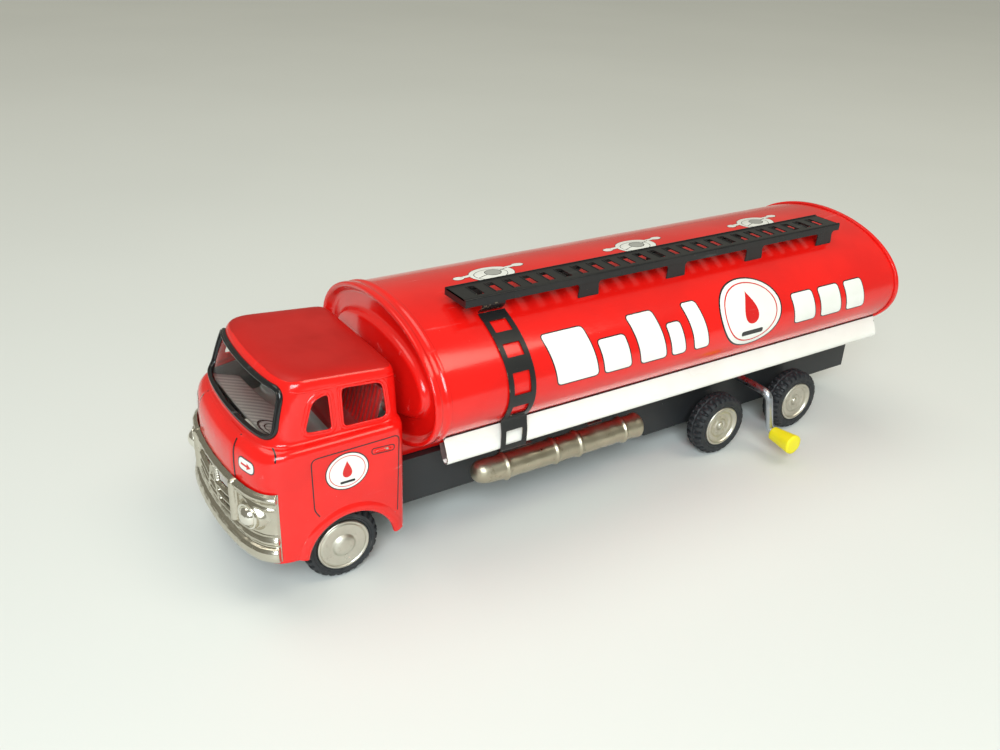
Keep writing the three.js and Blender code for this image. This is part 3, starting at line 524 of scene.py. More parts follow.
# ------------------------------------------------------------------- cab form
# z, half width, front, rear, bow of the front, slope of the ring towards the rear
SECTIONS = np.array([
    (16.0, 32.0, -29.2, 20.0, 4.0, 0), (30.0, 32.0, -29.2, 20.0, 4.0, 0), (42.0, 32.0, -29.2, 20.0, 4.0, 0),
    (47.5, 32.0, -29.0, 20.0, 4.0, 0), (50.2, 32.0, -28.3, 20.0, 4.0, 0), (51.9, 31.7, -27.2, 20.0, 4.0, 0),
    (52.8, 30.6, -26.0, 20.0, 3.8, 0), (53.1, 29.2, -24.8, 19.9, 3.0, 0), (54.0, 28.4, -24.2, 19.8, 2.8, 0),
    (60.6, 27.7, -21.5, 19.8, 2.6, -0.03), (67.0, 26.8, -18.2, 19.6, 2.4, -0.067),
    (68.6, 26.2, -17.0, 19.3, 2.4, -0.075), (69.7, 24.8, -15.2, 18.4, 2.4, -0.075),
    (70.4, 21.5, -12.0, 16.0, 2.0, -0.075), (70.72, 14.0, -5.0, 11.0, 1.0, -0.075),
])


def dense_sections(rounds=3):
    s = SECTIONS.copy()
    for _ in range(rounds):
        a, b = s[:-1] * 0.75 + s[1:] * 0.25, s[:-1] * 0.25 + s[1:] * 0.75
        middle = np.empty((2 * len(a), s.shape[1]))
        middle[0::2], middle[1::2] = a, b
        s = np.vstack([s[:1], middle, s[-1:]])
    return s


def cab_ring(section, count, grow=0.0):
    z, half, front, rear, bow, slope = section
    turn = (np.arange(count) + 0.5) * 2 * math.pi / count
    c, s = np.cos(turn), np.sin(turn)
    power = np.where(s < 0, 7.0, 14.0)
    reach = (np.abs(c) ** power + np.abs(s) ** power) ** (-1 / power)
    p, q = reach * c, reach * s
    x = (half + grow) * p
    y = (front + rear) / 2 + ((rear - front) / 2 + grow) * q + np.where(q < 0, bow * p * p * np.abs(q), 0)
    # the raised middle panel of the nose
    lift = 0.45 * np.clip((16.2 - np.abs(x)) / 0.9, 0, 1) * (z < 53.2) * (z > 40)
    y = np.where(q < -0.6, y - lift, y)
    return np.stack([x, y, z + slope * (y - rear)], 1)


CAB_COUNT = 256
cab_rows = dense_sections()
cab_outer = np.concatenate([cab_ring(s, CAB_COUNT) for s in cab_rows])
cab_caps = [
    tuple(range(CAB_COUNT))[::-1], tuple((len(cab_rows) - 1) * CAB_COUNT + i for i in range(CAB_COUNT))
]
cab_faces = grid_faces(len(cab_rows), CAB_COUNT, wrap_cols=True) + cab_caps
CAB_TREE = BVHTree.FromPolygons([tuple(p) for p in cab_outer], [tuple(f) for f in cab_faces])


def on_cab_side(side, lift=0.05):
    def place(y, z):
        hit, normal, _, _ = CAB_TREE.ray_cast(Vector((side * 80, y, z)), Vector((-side, 0, 0)))
        if hit is None:
            hit, normal = Vector((side * 31, y, z)), Vector((side, 0, 0))
        if normal.x * side < 0:
            normal = -normal
        return np.array(hit + normal * lift)
    return place


def on_cab_front(lift=0.05):
    def place(x, z):
        hit, normal, _, _ = CAB_TREE.ray_cast(Vector((x, -80, z)), Vector((0, 1, 0)))
        if hit is None:
            hit, normal = Vector((x, -25, z)), Vector((0, -1, 0))
        if normal.y > 0:
            normal = -normal
        return np.array(hit + normal * lift)
    return place


VENT = rounded([(-11.2, 55.7), (-2.4, 55.0), (-2.7, 66.5), (-8.0, 65.4)], [2.2, 1.6, 1.6, 3.0])
SIDE = rounded([(0.8, 54.8), (15.2, 54.5), (14.3, 66.1), (0.9, 67.2)], [1.8, 2.4, 2.4, 1.8])
SHIELD = {"low": 55.6, "high": 68.7, "low_half": 26.0, "high_half": 23.8}


def shield_outline(margin, radius=3.2):
    s = SHIELD
    corners = [(-s["low_half"] - margin, s["low"] - margin), (s["low_half"] + margin, s["low"] - margin),
               (s["high_half"] + margin, s["high"] + margin), (-s["high_half"] - margin, s["high"] + margin)]
    return rounded(corners, radius, 7)


def resample(points, count):
    p = np.array(list(points) + [points[0]], float)
    lengths = np.concatenate([[0], np.cumsum(np.linalg.norm(np.diff(p, axis=0), axis=1))])
    at = np.linspace(0, lengths[-1], count, endpoint=False)
    return np.stack([np.interp(at, lengths, p[:, k]) for k in range(p.shape[1])], 1)


ARCH_Y, ARCH_Z, ARCH_R = 0.8, 13.0, 14.3


def build_cab():
    body = raw_object("cab_tin", cab_outer, cab_faces)
    rows = [(s[0] - (2 if i == 0 else 0) - 0.45 * (s[0] > 67), *s[1:]) for i, s in enumerate(cab_rows)]
    inner = np.concatenate([cab_ring(s, 128, -0.5) for s in rows])
    caps = [tuple(range(128))[::-1], tuple((len(rows) - 1) * 128 + i for i in range(128))]
    cutters = [
        raw_object("c1", inner, grid_faces(len(rows), 128, wrap_cols=True) + caps),
        prism("c2", VENT, "x", -50, 50),
        prism("c3", SIDE, "x", -50, 50),
        prism("c4", shield_outline(0), "y", -50, -2),
        prism(
            "c5",
            [
                (ARCH_Y + ARCH_R * math.cos(a), ARCH_Z + ARCH_R * math.sin(a))
                for a in np.arange(96) * math.pi / 48
            ],
            "x", -50, 50
        ),
        prism("c6", [(-28, -10), (28, -10), (28, 31.6), (-28, 31.6)], "y", 10, 30),
        prism("c7", [(-13.4, 25), (13.4, 25), (13.4, 36), (-13.4, 36)], "y", -50, -20),
    ]
    cut_with(body, cutters)
    settle(body, "red", stands_for="cab_shell", sharp=32)
    body.data.materials.append(M["roof"])
    body.data.materials.append(M["bare"])
    centre = Vector(to_frame([(0, 0, 45)])[0])
    # Up-facing faces high on the roof take the darker red copy, which is painted shade on the top. Inward
    # faces low down take bare tin.
    for face in body.data.polygons:
        high = face.center.z > 0.0688 and face.normal.z > 0.8
        if high:
            face.material_index = 1
        elif face.normal.dot(face.center - centre) < 0 and face.center.z < 0.05 and abs(face.normal.z) < 0.9:
            face.material_index = 2
    for side, label in ((1, "left"), (-1, "right")):
        facing = (side, 0, 0)
        at = on_cab_side(side, 0.05)
        for tag, outline in (("vent", VENT), ("side", SIDE)):
            line = resample(outline, 90)
            edge = np.array([on_cab_side(side, 0.02)(*p) for p in line])
            piece(f"window_rim_{tag}_{label}", *tube(edge, 0.38, 10, closed=True), "red", worn=LIGHT_WEAR)
            swage = np.array([on_cab_side(side, -0.12)(*p) for p in offset_line(line, 1.15)])
            piece(f"window_swage_{tag}_{label}", *tube(swage, 0.3, 8, closed=True), "red", worn=LIGHT_WEAR)
        # rolled lip round the wheel arch
        rows = []
        for a in np.linspace(math.radians(10), math.radians(170), 90):
            for r, out in (
                (14.25, -0.5), (14.25, 0.35), (14.6, 0.75), (15.2, 0.85), (16.0, 0.7), (16.8, 0.35),
                (17.4, -0.05)
            ):
                rows.append((side * (32 + out), ARCH_Y + r * math.cos(a), ARCH_Z + r * math.sin(a)))
        piece(f"arch_lip_{label}", rows, grid_faces(90, 7, flip=side > 0), "red", sharp=60)
        gutter = [on_cab_side(side, 0.1)(y, 68.35 - 0.05 * (y + 12)) for y in np.linspace(-13.5, 18, 60)]
        piece(f"roof_gutter_{label}", *tube(gutter, 0.33, 8), "red", worn=LIGHT_WEAR)
        # printed door line, broken by the arch
        door = rounded(
            [(16.3, 22.8), (17.2, 49.6), (-11.0, 49.1), (-10.7, 31.6), (-9.2, 29.2)],
            [0.1, 2.2, 2.2, 2.0, 0.1], 6, closed=False
        )
        decal(f"door_line_{label}", flat_strip(door, 0.36, closed=False), at, "ink", facing=facing)
        handle = rounded([(8.0, 45.3), (15.4, 44.9), (15.4, 46.9), (8.0, 47.3)], 0.95)
        decal(f"door_handle_line_{label}", flat_strip(handle, 0.3), at, "ink", facing=facing)
        bar = [on_cab_side(side, 0.0)(y, 46.1 - 0.05 * (y - 11.5)) for y in np.linspace(9.0, 14.4, 16)]
        swell = 0.62 * np.sqrt(np.clip(1 - np.linspace(-1, 1, 16) ** 6, 0.02, 1))
        piece(f"door_handle_{label}", *tube(bar, swell, 10, flat=0.8), "red")
        # small generic badge: a white roundel with a red drop
        badge(f"door_badge_{label}", 0.0, 42.2, 6.6, 5.9, side, on_cab_side, facing)
        # direction flash on the front corner
        flash(f"signal_{label}", side)
    for side, label in ((1, "left"), (-1, "right")):
        line = [(side * 15.0, 53.0), (side * 15.6, 51.0), (side * 16.1, 47.0), (side * 16.3, 40.4)]
        decal(
            f"nose_line_{label}", flat_strip(rounded(line, 0.8, 4, closed=False), 0.5, closed=False),
            on_cab_front(0.06), "ink", facing=(0, -1, 0)
        )
        notch = [(-20.0, 53.2), (-20.9, 50.4)]
        decal(
            f"belt_notch_{label}", flat_strip(notch, 0.42, closed=False, step=0.3),
            on_cab_side(side, 0.07), "ink", facing=(side, 0, 0)
        )


def badge(name, u, v, ru, rv, side, surface, facing):
    above = surface(side, 0.09)
    plate = ellipse(u, v, ru, rv, 72)
    decal(
        name + "_edge", flat_mesh(offset_line(plate, 0.035 * ru + 0.12)), surface(side, 0.035), "ink",
        facing=facing
    )
    decal(name, flat_mesh(plate), surface(side, 0.06), "ink_white", facing=facing)
    decal(
        name + "_ring", flat_strip(ellipse(u, v, 0.86 * ru, 0.86 * rv, 72), 0.035 * ru), above,
        "ink_red", facing=facing
    )
    drop = []
    for i in range(40):
        t = 2 * math.pi * i / 40
        taper = math.sin(t / 2) ** 1.6
        drop.append((u + 0.33 * ru * math.sin(t) * taper, v + 0.12 * rv + 0.48 * rv * math.cos(t)))
    decal(name + "_drop", flat_mesh(drop), above, "ink_red", facing=facing)
    bar = rounded(
        [
            (u - 0.36 * ru, v - 0.68 * rv), (u + 0.36 * ru, v - 0.68 * rv),
            (u + 0.36 * ru, v - 0.54 * rv), (u - 0.36 * ru, v - 0.54 * rv)
        ],
        0.05 * ru, 3
    )
    decal(name + "_bar", flat_mesh(bar), above, "ink", facing=facing)


def flash(name, side):
    place = on_cab_front(0.06)
    cx, cz, a, b = side * 22.3, 46.9, 3.4, 1.75
    pill = rounded([(cx - a, cz - b), (cx + a, cz - b), (cx + a, cz + b), (cx - a, cz + b)], 1.7, 7)
    decal(name + "_edge", flat_mesh(offset_line(pill, 0.38)), on_cab_front(0.035), "ink", facing=(0, -1, 0))
    decal(name, flat_mesh(pill), place, "ink_white", facing=(0, -1, 0))
    tail, neck, tip = cx - side * 2.2, cx + side * 0.6, cx + side * 2.4
    arrow = [
        (tail, cz - 0.35), (neck, cz - 0.35), (neck, cz - 1.05), (tip, cz), (neck, cz + 1.05),
        (neck, cz + 0.35), (tail, cz + 0.35)
    ]
    decal(name + "_arrow", flat_mesh(arrow[::side]), on_cab_front(0.09), "ink_red", facing=(0, -1, 0))


def build_windshield():
    line = resample(shield_outline(0.25), 220)
    path = np.array([on_cab_front(0.12)(*p) for p in line])
    piece(
        "windshield_gasket", *tube(path, 0.85, 14, closed=True), "gasket",
        stands_for="windshield_frame", worn=LIGHT_WEAR
    )
    bead = np.array([on_cab_front(0.95)(*p) for p in offset_line(line, -0.3)])
    piece("windshield_bead", *tube(bead, 0.34, 8, closed=True), "gasket", worn=LIGHT_WEAR)
    points, faces = flat_mesh(shield_outline(0.2), step=1.6)
    world = np.array([on_cab_front(-0.35)(*p) for p in points])
    piece("windshield_clear", world, faces, "clear", stands_for="windshield_glazing", sharp=80)


def build_seat():
    """Printed tin behind the glass: dash, floor, bench and its back, with ribs and a wheel drawn on."""
    profile = rounded(
        [(-18.4, 52.3), (-4.0, 47.0), (-2.5, 41.0), (3.5, 41.0), (4.5, 46.5), (11.0, 47.5), (15.0, 62.3)],
        [0, 1.2, 1, 1, 1.2, 1.6, 0], 5, closed=False
    )
    prof = resample_open(profile, 90)
    xs = np.linspace(-26, 26, 60)
    rows = [(x, y, z) for y, z in prof for x in xs]
    seat = piece(
        "seat_tin", rows, grid_faces(len(prof), 60), "print_grey", stands_for="seat_insert",
        solidify=0.3
    )
    seat.data.materials.append(M["print_red"])
    bench_y = to_frame([(0, 4.0, 0)])[0][1]
    for face in seat.data.polygons:
        face.material_index = int(face.center.y > bench_y)
    lengths = np.concatenate([[0], np.cumsum(np.linalg.norm(np.diff(prof, axis=0), axis=1))])

    def place(x, s):
        i = min(int(np.searchsorted(lengths, s)), len(prof) - 1)
        t = prof[i] - prof[max(i - 1, 0)]
        t = t / max(np.linalg.norm(t), 1e-9)
        y, z = (np.interp(s, lengths, prof[:, k]) for k in (0, 1))
        return np.array((x, y - t[1] * 0.07, z + t[0] * 0.07))

    total = lengths[-1]
    for k in range(21):
        x = -23.5 + 2.35 * k
        stripe = [(x, 0.5), (x + 1.15, 0.5), (x + 1.15, 14.6), (x, 14.6)]
        decal(f"dash_rib_{k}", flat_mesh(stripe, step=2.0), place, "ink_white", facing=(0, -0.3, 1))
        back = [(x, total - 15), (x + 1.3, total - 15), (x + 1.3, total - 0.6), (x, total - 0.6)]
        decal(f"seat_rib_{k}", flat_mesh(back, step=2.0), place, "ink_red", facing=(0, -1, 0.3))
    for r, w, mat in ((6.6, 0.8, "ink"), (5.5, 0.35, "ink_white"), (4.6, 0.35, "ink"), (1.6, 1.6, "ink")):
        ring = ellipse(13.5, 7.2, r, r * 0.92, 48)
        decal(
            f"wheel_print_{int(r * 10)}", flat_strip(ring, w, step=1.5),
            lambda x, s: place(x, s) + (0, -0.02, 0.05), mat, facing=(0, -0.3, 1), slot="black_tin"
        )


def resample_open(points, count):
    p = np.array(points, float)
    lengths = np.concatenate([[0], np.cumsum(np.linalg.norm(np.diff(p, axis=0), axis=1))])
    at = np.linspace(0, lengths[-1], count)
    return np.stack([np.interp(at, lengths, p[:, k]) for k in range(p.shape[1])], 1)


# ------------------------------------------------------------ grille stamping
def smooth(value, low, high):
    t = np.clip((value - low) / (high - low), 0, 1)
    return t * t * (3 - 2 * t)


def grille_slots():
    """Openings of the grille as (x, z) outlines on the right half; the left is mirrored."""
    rows = [((1.7, 35.4), (12.6, 36.4), (12.9, 33.2), (3.6, 32.2)),
            ((4.2, 30.9), (12.9, 31.9), (12.9, 30.3), (5.2, 29.3)),
            ((5.6, 28.2), (12.8, 29.1), (12.7, 27.6), (6.8, 26.8))]
    return rows


def build_grille():
    turn = np.linspace(0, 2 * math.pi, 20001)[:-1]
    c, s = np.cos(turn), np.sin(turn)
    half, front, rear, bow = 32.0, -29.2, 20.0, 4.0
    power = np.where(s < 0, 7.0, 14.0)
    reach = (np.abs(c) ** power + np.abs(s) ** power) ** (-1 / power)
    p, q = reach * c, reach * s
    x, y = half * p, (front + rear) / 2 + (rear - front) / 2 * q + np.where(q < 0, bow * p * p * np.abs(q), 0)
    keep = y < -21.0
    curve = np.stack([x[keep], y[keep]], 1)
    curve = curve[np.argsort(np.unwrap(np.arctan2(curve[:, 1] + 5, curve[:, 0])))]
    count = 460
    curve = resample_open(curve, count)
    tangent = np.gradient(curve, axis=0)
    tangent /= np.linalg.norm(tangent, axis=1, keepdims=True)
    normal = np.stack([tangent[:, 1], -tangent[:, 0]], 1)
    if normal[count // 2, 1] > 0:
        normal = -normal
    arc = np.linspace(-0.5, 0.5, count) * np.linalg.norm(np.diff(curve, axis=0), axis=1).sum()
    levels = np.linspace(17.0, 40.4, 170)
    knots = np.array([
        (17.0, 0.9), (17.6, 1.9), (18.6, 2.7), (20.0, 3.15), (21.4, 2.9), (22.3, 2.3), (22.8, 1.3),
        (23.3, 1.2), (23.9, 1.8), (24.7, 1.95), (25.5, 1.5), (26.2, 0.9), (37.0, 0.85), (37.8, 1.2),
        (38.5, 1.9), (39.2, 1.95), (39.7, 1.5), (40.4, 0.5)
    ])
    gx, gz = np.meshgrid(arc, levels)
    cx = np.broadcast_to(curve[:, 0], gx.shape)
    h = np.interp(gz, knots[:, 0], knots[:, 1])
    ax = np.abs(cx)
    # grille field between the posts: sunk, with slanted bars
    field = smooth(15.2 - ax, 0, 0.8) * smooth(gz, 25.6, 26.4) * smooth(37.2 - gz, 0, 0.8)
    h = h - 0.55 * field
    bars = np.zeros_like(h)
    for z0 in (31.55, 28.75, 26.2):
        centre = z0 + 0.085 * (ax - 6)
        bars = np.maximum(bars, np.sqrt(np.clip(1 - ((gz - centre) / 0.72) ** 2, 0, 1)))
    stem_x = 0.6 + 0.42 * np.clip(36 - gz, 0, 12)
    stem = np.sqrt(np.clip(1 - ((ax - stem_x) / 0.85) ** 2, 0, 1))
    h = h + field * np.maximum(bars, stem) * 1.25
    # posts
    post = np.sqrt(np.clip(1 - ((ax - 16.4) / 1.35) ** 2, 0, 1)) * smooth(gz, 25.0, 26.5)
    top = np.sqrt(np.clip(1 - (np.clip(gz - 39.0, 0, None) / 1.4) ** 2, 0, 1))
    h = np.maximum(h, post * top * 2.7)
    # lamp housings: a pointed eyebrow with a round lamp
    lx, lz = ax - 24.3, gz - 31.8
    pod = np.clip(1 - np.hypot(lx / 5.6, lz / 4.9), 0, 1)
    h = h + 1.7 * smooth(pod, 0, 0.35)
    ring = np.hypot(lx, lz)
    h = h - 0.9 * smooth(3.95 - ring, 0, 0.5)
    brow = np.exp(-((lz - 4.6 + 0.16 * lx) / 0.5) ** 2) * smooth(7.2 - np.abs(lx), 0, 2.0)
    h = h + 0.55 * brow
    ridge = np.exp(-((gz - 25.9 - 0.02 * ax) / 0.35) ** 2) * smooth(ax, 17.6, 18.5)
    h = h + 0.25 * ridge
    # the rear edges lie down on the cab side
    edge = smooth(arc[-1] - np.abs(gx), 0, 0.8)
    h = 0.25 + (h - 0.25) * np.maximum(edge, 0.15)
    dents = 0.06 * np.sin(gx * 1.3 + 0.7 * gz) * np.sin(gz * 0.9 - 0.4 * gx)
    h = h + dents
    pts = np.stack([curve[:, 0] + normal[:, 0] * h, curve[:, 1] + normal[:, 1] * h, gz], 2).reshape(-1, 3)
    faces = grid_faces(len(levels), count)
    flat = np.stack([ax, gz], 2).reshape(-1, 2)
    inside = np.zeros(len(flat), bool)
    for slot in grille_slots():
        poly = np.array(slot)
        hit = np.ones(len(flat), bool)
        for i in range(4):
            a, b = poly[i], poly[(i + 1) % 4]
            cross = (b[0] - a[0]) * (flat[:, 1] - a[1]) - (b[1] - a[1]) * (flat[:, 0] - a[0])
            hit &= cross < 0
        inside |= hit
    faces = [f for f in faces if not all(inside[i] for i in f)]
    first = faces[0]
    n = np.cross(pts[first[1]] - pts[first[0]], pts[first[2]] - pts[first[0]])
    if n @ (pts[first[0]] - np.array((0, 0, 30))) < 0:
        faces = [f[::-1] for f in faces]
    piece("grille_stamping", pts, faces, "nickel", stands_for="grille_bumper", sharp=50, solidify=0.28)
    for side, label in ((1, "left"), (-1, "right")):
        k = int(np.argmin(np.abs(curve[:, 0] - side * 24.3)))
        centre = np.array((curve[k, 0], curve[k, 1], 31.8))
        out = np.array((normal[k, 0], normal[k, 1], 0.0))
        across = np.array((-out[1], out[0], 0.0))
        up = np.array((0.0, 0.0, 1.0))
        for tag, prof, mat in (
            (
                "rim", [(3.1, 1.2), (3.15, 2.1), (3.5, 2.55), (3.95, 2.4), (4.1, 1.6), (4.1, 0.6)],
                "nickel_bright"
            ),
            (
                "lamp",
                [(3.3, 1.6), (3.1, 2.3), (2.7, 3.0), (2.1, 3.6), (1.4, 4.0), (0.7, 4.2), (0.03, 4.25)],
                "nickel_bright"
            ),
        ):
            rows = []
            for r, d in resample_open(prof, 24):
                for t in np.arange(48) * 2 * math.pi / 48:
                    rows.append(centre + out * d + across * r * math.cos(t) + up * r * math.sin(t))
            lamp_faces = grid_faces(24, 48, wrap_cols=True, flip=tag == "rim")
            piece(f"headlamp_{tag}_{label}", rows, lamp_faces, mat, solidify=0.12 if tag == "rim" else 0)


# ----------------------------------------------------------------------- tank
TA, TB, TZ = 40.5, 22.8, 58.0
table_t = np.linspace(0, math.pi, 4001)
table_xy = np.stack([TA * np.sin(table_t), TZ + TB * np.cos(table_t)], 1)
table_w = np.concatenate([[0], np.cumsum(np.linalg.norm(np.diff(table_xy, axis=0), axis=1))])


def w_of_z(z):
    return float(np.interp(math.acos((z - TZ) / TB), table_t, table_w))


def on_tank(side, lift=0.05):
    """place(y, h): h is measured up the skin from the tank's widest line."""
    middle = w_of_z(TZ)

    def place(y, h):
        t = float(np.interp(middle - h, table_w, table_t))
        n = np.array((math.sin(t) / TA, 0, math.cos(t) / TB))
        n /= np.linalg.norm(n)
        return np.array((side * (TA * math.sin(t) + n[0] * lift), y, TZ + TB * math.cos(t) + n[2] * lift))
    return place


def on_tank_top(lift=0.05):
    """place(y, x): x is measured along the skin from the top line towards the left side."""
    def place(y, w):
        t = math.copysign(float(np.interp(abs(w), table_w, table_t)), w)
        n = np.array((math.sin(t) / TA, 0, math.cos(t) / TB))
        n /= np.linalg.norm(n)
        return np.array((TA * math.sin(t) + n[0] * lift, y, TZ + TB * math.cos(t) + n[2] * lift))
    return place


def tank_loft(name, profile, mat, stands_for=(), count=220):
    """A ring of tin that follows the tank's oval; the profile holds (y, distance outside the shell)."""
    turn = -np.arange(count) * 2 * math.pi / count
    rows = []
    for y, g in profile:
        rows.append(np.stack([(TA + g) * np.cos(turn), np.full(count, y), TZ + (TB + g) * np.sin(turn)], 1))
    faces = grid_faces(len(profile), count, wrap_cols=True, wrap_rows=True)
    pts = np.concatenate(rows)
    return piece(name, pts, faces, mat, stands_for=stands_for, sharp=34)


def build_tank():
    ys = np.linspace(28.2, 234.7, 80)
    outer = [(y, 0.0) for y in ys] + [(y, -0.4) for y in ys[::-1]]
    tank_loft("tank_tin", outer, "red", stands_for="tank_shell")
    f = 24.4
    front = rounded(
        [
            (f + 0.75, -22.7), (f + 0.55, -9.6), (f + 2.9, -8.3), (f + 3.0, -2.4), (f + 0.5, -1.0),
            (f, -0.2), (f + 0.3, 0.75), (f + 1.9, 0.85), (f + 2.5, 0.45), (f + 3.9, 0.45),
            (f + 4.5, 0.85), (f + 5.6, 0.8), (f + 5.7, 0.1), (f + 4.2, 0.1), (f + 4.0, -0.2),
            (f + 3.6, -8.6), (f + 1.2, -9.8), (f + 1.3, -22.7)
        ],
        [0, 1.3, 1.2, 1.2, 0.8, 0.5, 0.5, 0.5, 0.4, 0.4, 0.5, 0.2, 0, 0, 0, 0, 0, 0], 5
    )
    tank_loft("tank_cap_front", front, "red", stands_for="tank_front_cap")
    r = 236.2
    rear = rounded(
        [
            (r - 2.0, -22.7), (r - 2.0, -9.6), (r - 0.8, -7.6), (r - 0.75, -1.9), (r - 0.3, -0.9),
            (r, 0.1), (r - 0.4, 0.75), (r - 1.9, 0.75), (r - 2.1, 0.1), (r - 1.4, 0.1),
            (r - 1.35, -7.8), (r - 2.5, -9.8), (r - 2.5, -22.7)
        ],
        [0, 1.4, 0.8, 0.4, 0.3, 0.5, 0.4, 0.2, 0, 0, 0, 0, 0], 5
    )
    tank_loft("tank_cap_rear", rear, "red", stands_for="tank_rear_cap")
    for side, label in ((1, "left"), (-1, "right")):
        facing = (side, 0, 0.4)
        middle = w_of_z(TZ)
        up = lambda z: middle - w_of_z(z)
        tall, short, foot = up(71.6), up(67.6), up(57.2)
        blocks = [
            (66.5, 82.5, tall), (86.0, 97.0, short), (100.5, 111.5, tall), (115.0, 121.0, short),
            (124.5, 131.0, tall), (175.5, 186.5, short), (190.0, 201.0, short), (204.5, 214.5, short)
        ]
        for k, (a, b, top) in enumerate(blocks):
            drop = 1.4 * (a - 66) / 148
            lean = 2.2 * (top - foot) / (tall - foot)
            shape = rounded(
                [
                    (a + lean, foot - drop), (b + lean, foot - drop), (b - lean * 0.2, top - drop),
                    (a - lean * 0.2, top - drop)
                ],
                1.5, 5
            )
            decal(
                f"tank_block_edge_{k}_{label}", flat_mesh(offset_line(shape, 0.42)),
                on_tank(side, 0.03), "ink", facing=facing
            )
            decal(
                f"tank_block_{k}_{label}", flat_mesh(shape), on_tank(side, 0.06), "ink_white",
                facing=facing
            )
        badge(
            f"tank_badge_{label}", 154.5, (up(73.6) + up(52.6)) / 2, 14.6, (up(73.6) - up(52.6)) / 2,
            side, on_tank, facing
        )
    for k, y in enumerate((68.5, 131.0, 193.0)):
        hatch(f"hatch_{k}", y)


def hatch(name, y):
    """A filler hatch drawn on the top line: a round lid with a bar and a wing knob at each end."""
    low, mid, top, line = on_tank_top(0.03), on_tank_top(0.05), on_tank_top(0.07), on_tank_top(0.09)
    facing = (0, 0, 1)
    arm = rounded([(y - 12.4, -1.5), (y + 12.2, -3.9), (y + 12.2, -2.5), (y - 12.4, 0.0)], 0.5, 3)
    shapes = [
        ("arm", arm), ("lid", ellipse(y, 0, 8.3, 6.0)),
        ("knob_front", ellipse(y - 12.4, -0.7, 2.0, 1.35, 24)),
        ("knob_rear", ellipse(y + 12.3, -3.2, 2.2, 1.4, 24))
    ]
    for tag, shape in shapes:
        decal(f"{name}_{tag}_edge", flat_mesh(offset_line(shape, 0.22)), low, "ink", facing=facing)
        decal(f"{name}_{tag}", flat_mesh(shape), mid, "ink_white", facing=facing)
    decal(f"{name}_ring", flat_strip(ellipse(y - 0.6, 0.4, 6.2, 4.2), 0.22), top, "ink", facing=facing)
    hub = ellipse(y + 0.8, -0.5, 3.0, 2.4, 32)
    decal(f"{name}_hub", flat_mesh(hub), top, "print_grey", facing=facing)
    decal(f"{name}_hub_line", flat_strip(hub, 0.25), line, "ink", facing=facing)
    spoke = [(y - 6.2, 2.0), (y - 2.0, 0.4)]
    decal(f"{name}_spoke_a", flat_strip(spoke, 0.25, closed=False), line, "ink", facing=facing)
    spoke = [(y + 3.6, -1.0), (y + 7.6, -2.4)]
    decal(f"{name}_spoke_b", flat_strip(spoke, 0.25, closed=False), line, "ink", facing=facing)


def build_skirts():
    for side, label in ((1, "left"), (-1, "right")):
        outline = rounded(
            [
                (33.9, 45.0), (36.62, 39.2), (36.55, 37.6), (35.5, 36.9), (34.3, 37.2), (33.4, 38.4),
                (31.9, 42.4)
            ],
            [0, 0.9, 0.7, 0.7, 0.8, 0.8, 0], 6, closed=False
        )
        prof = resample_open(outline, 44)
        ys = np.linspace(31.0, 233.8, 70)
        rows = [(side * x, y, z) for y in ys for x, z in prof]
        faces = grid_faces(len(ys), len(prof), flip=side > 0)
        obj = piece(
            f"skirt_tin_{label}", rows, faces, "white", stands_for=f"skirt_{label}", sharp=50,
            solidify=SKIN, offset=-1
        )
        obj.data.materials.append(M["bare"])
        for face in obj.data.polygons:
            c = face.center
            inner = abs(c.x * 1000 + OX) < 33.9 and c.z < 0.0435
            facing_out = face.normal.x * side > 0.1
            if inner or (not facing_out and abs(c.x * 1000 + OX) < 36.3 and face.normal.z > -0.2):
                face.material_index = 1
        line = [(side * 33.85, y, 45.2) for y in ys]
        piece(f"skirt_line_{label}", *tube(line, 0.34, 8), "ink", worn=LIGHT_WEAR)


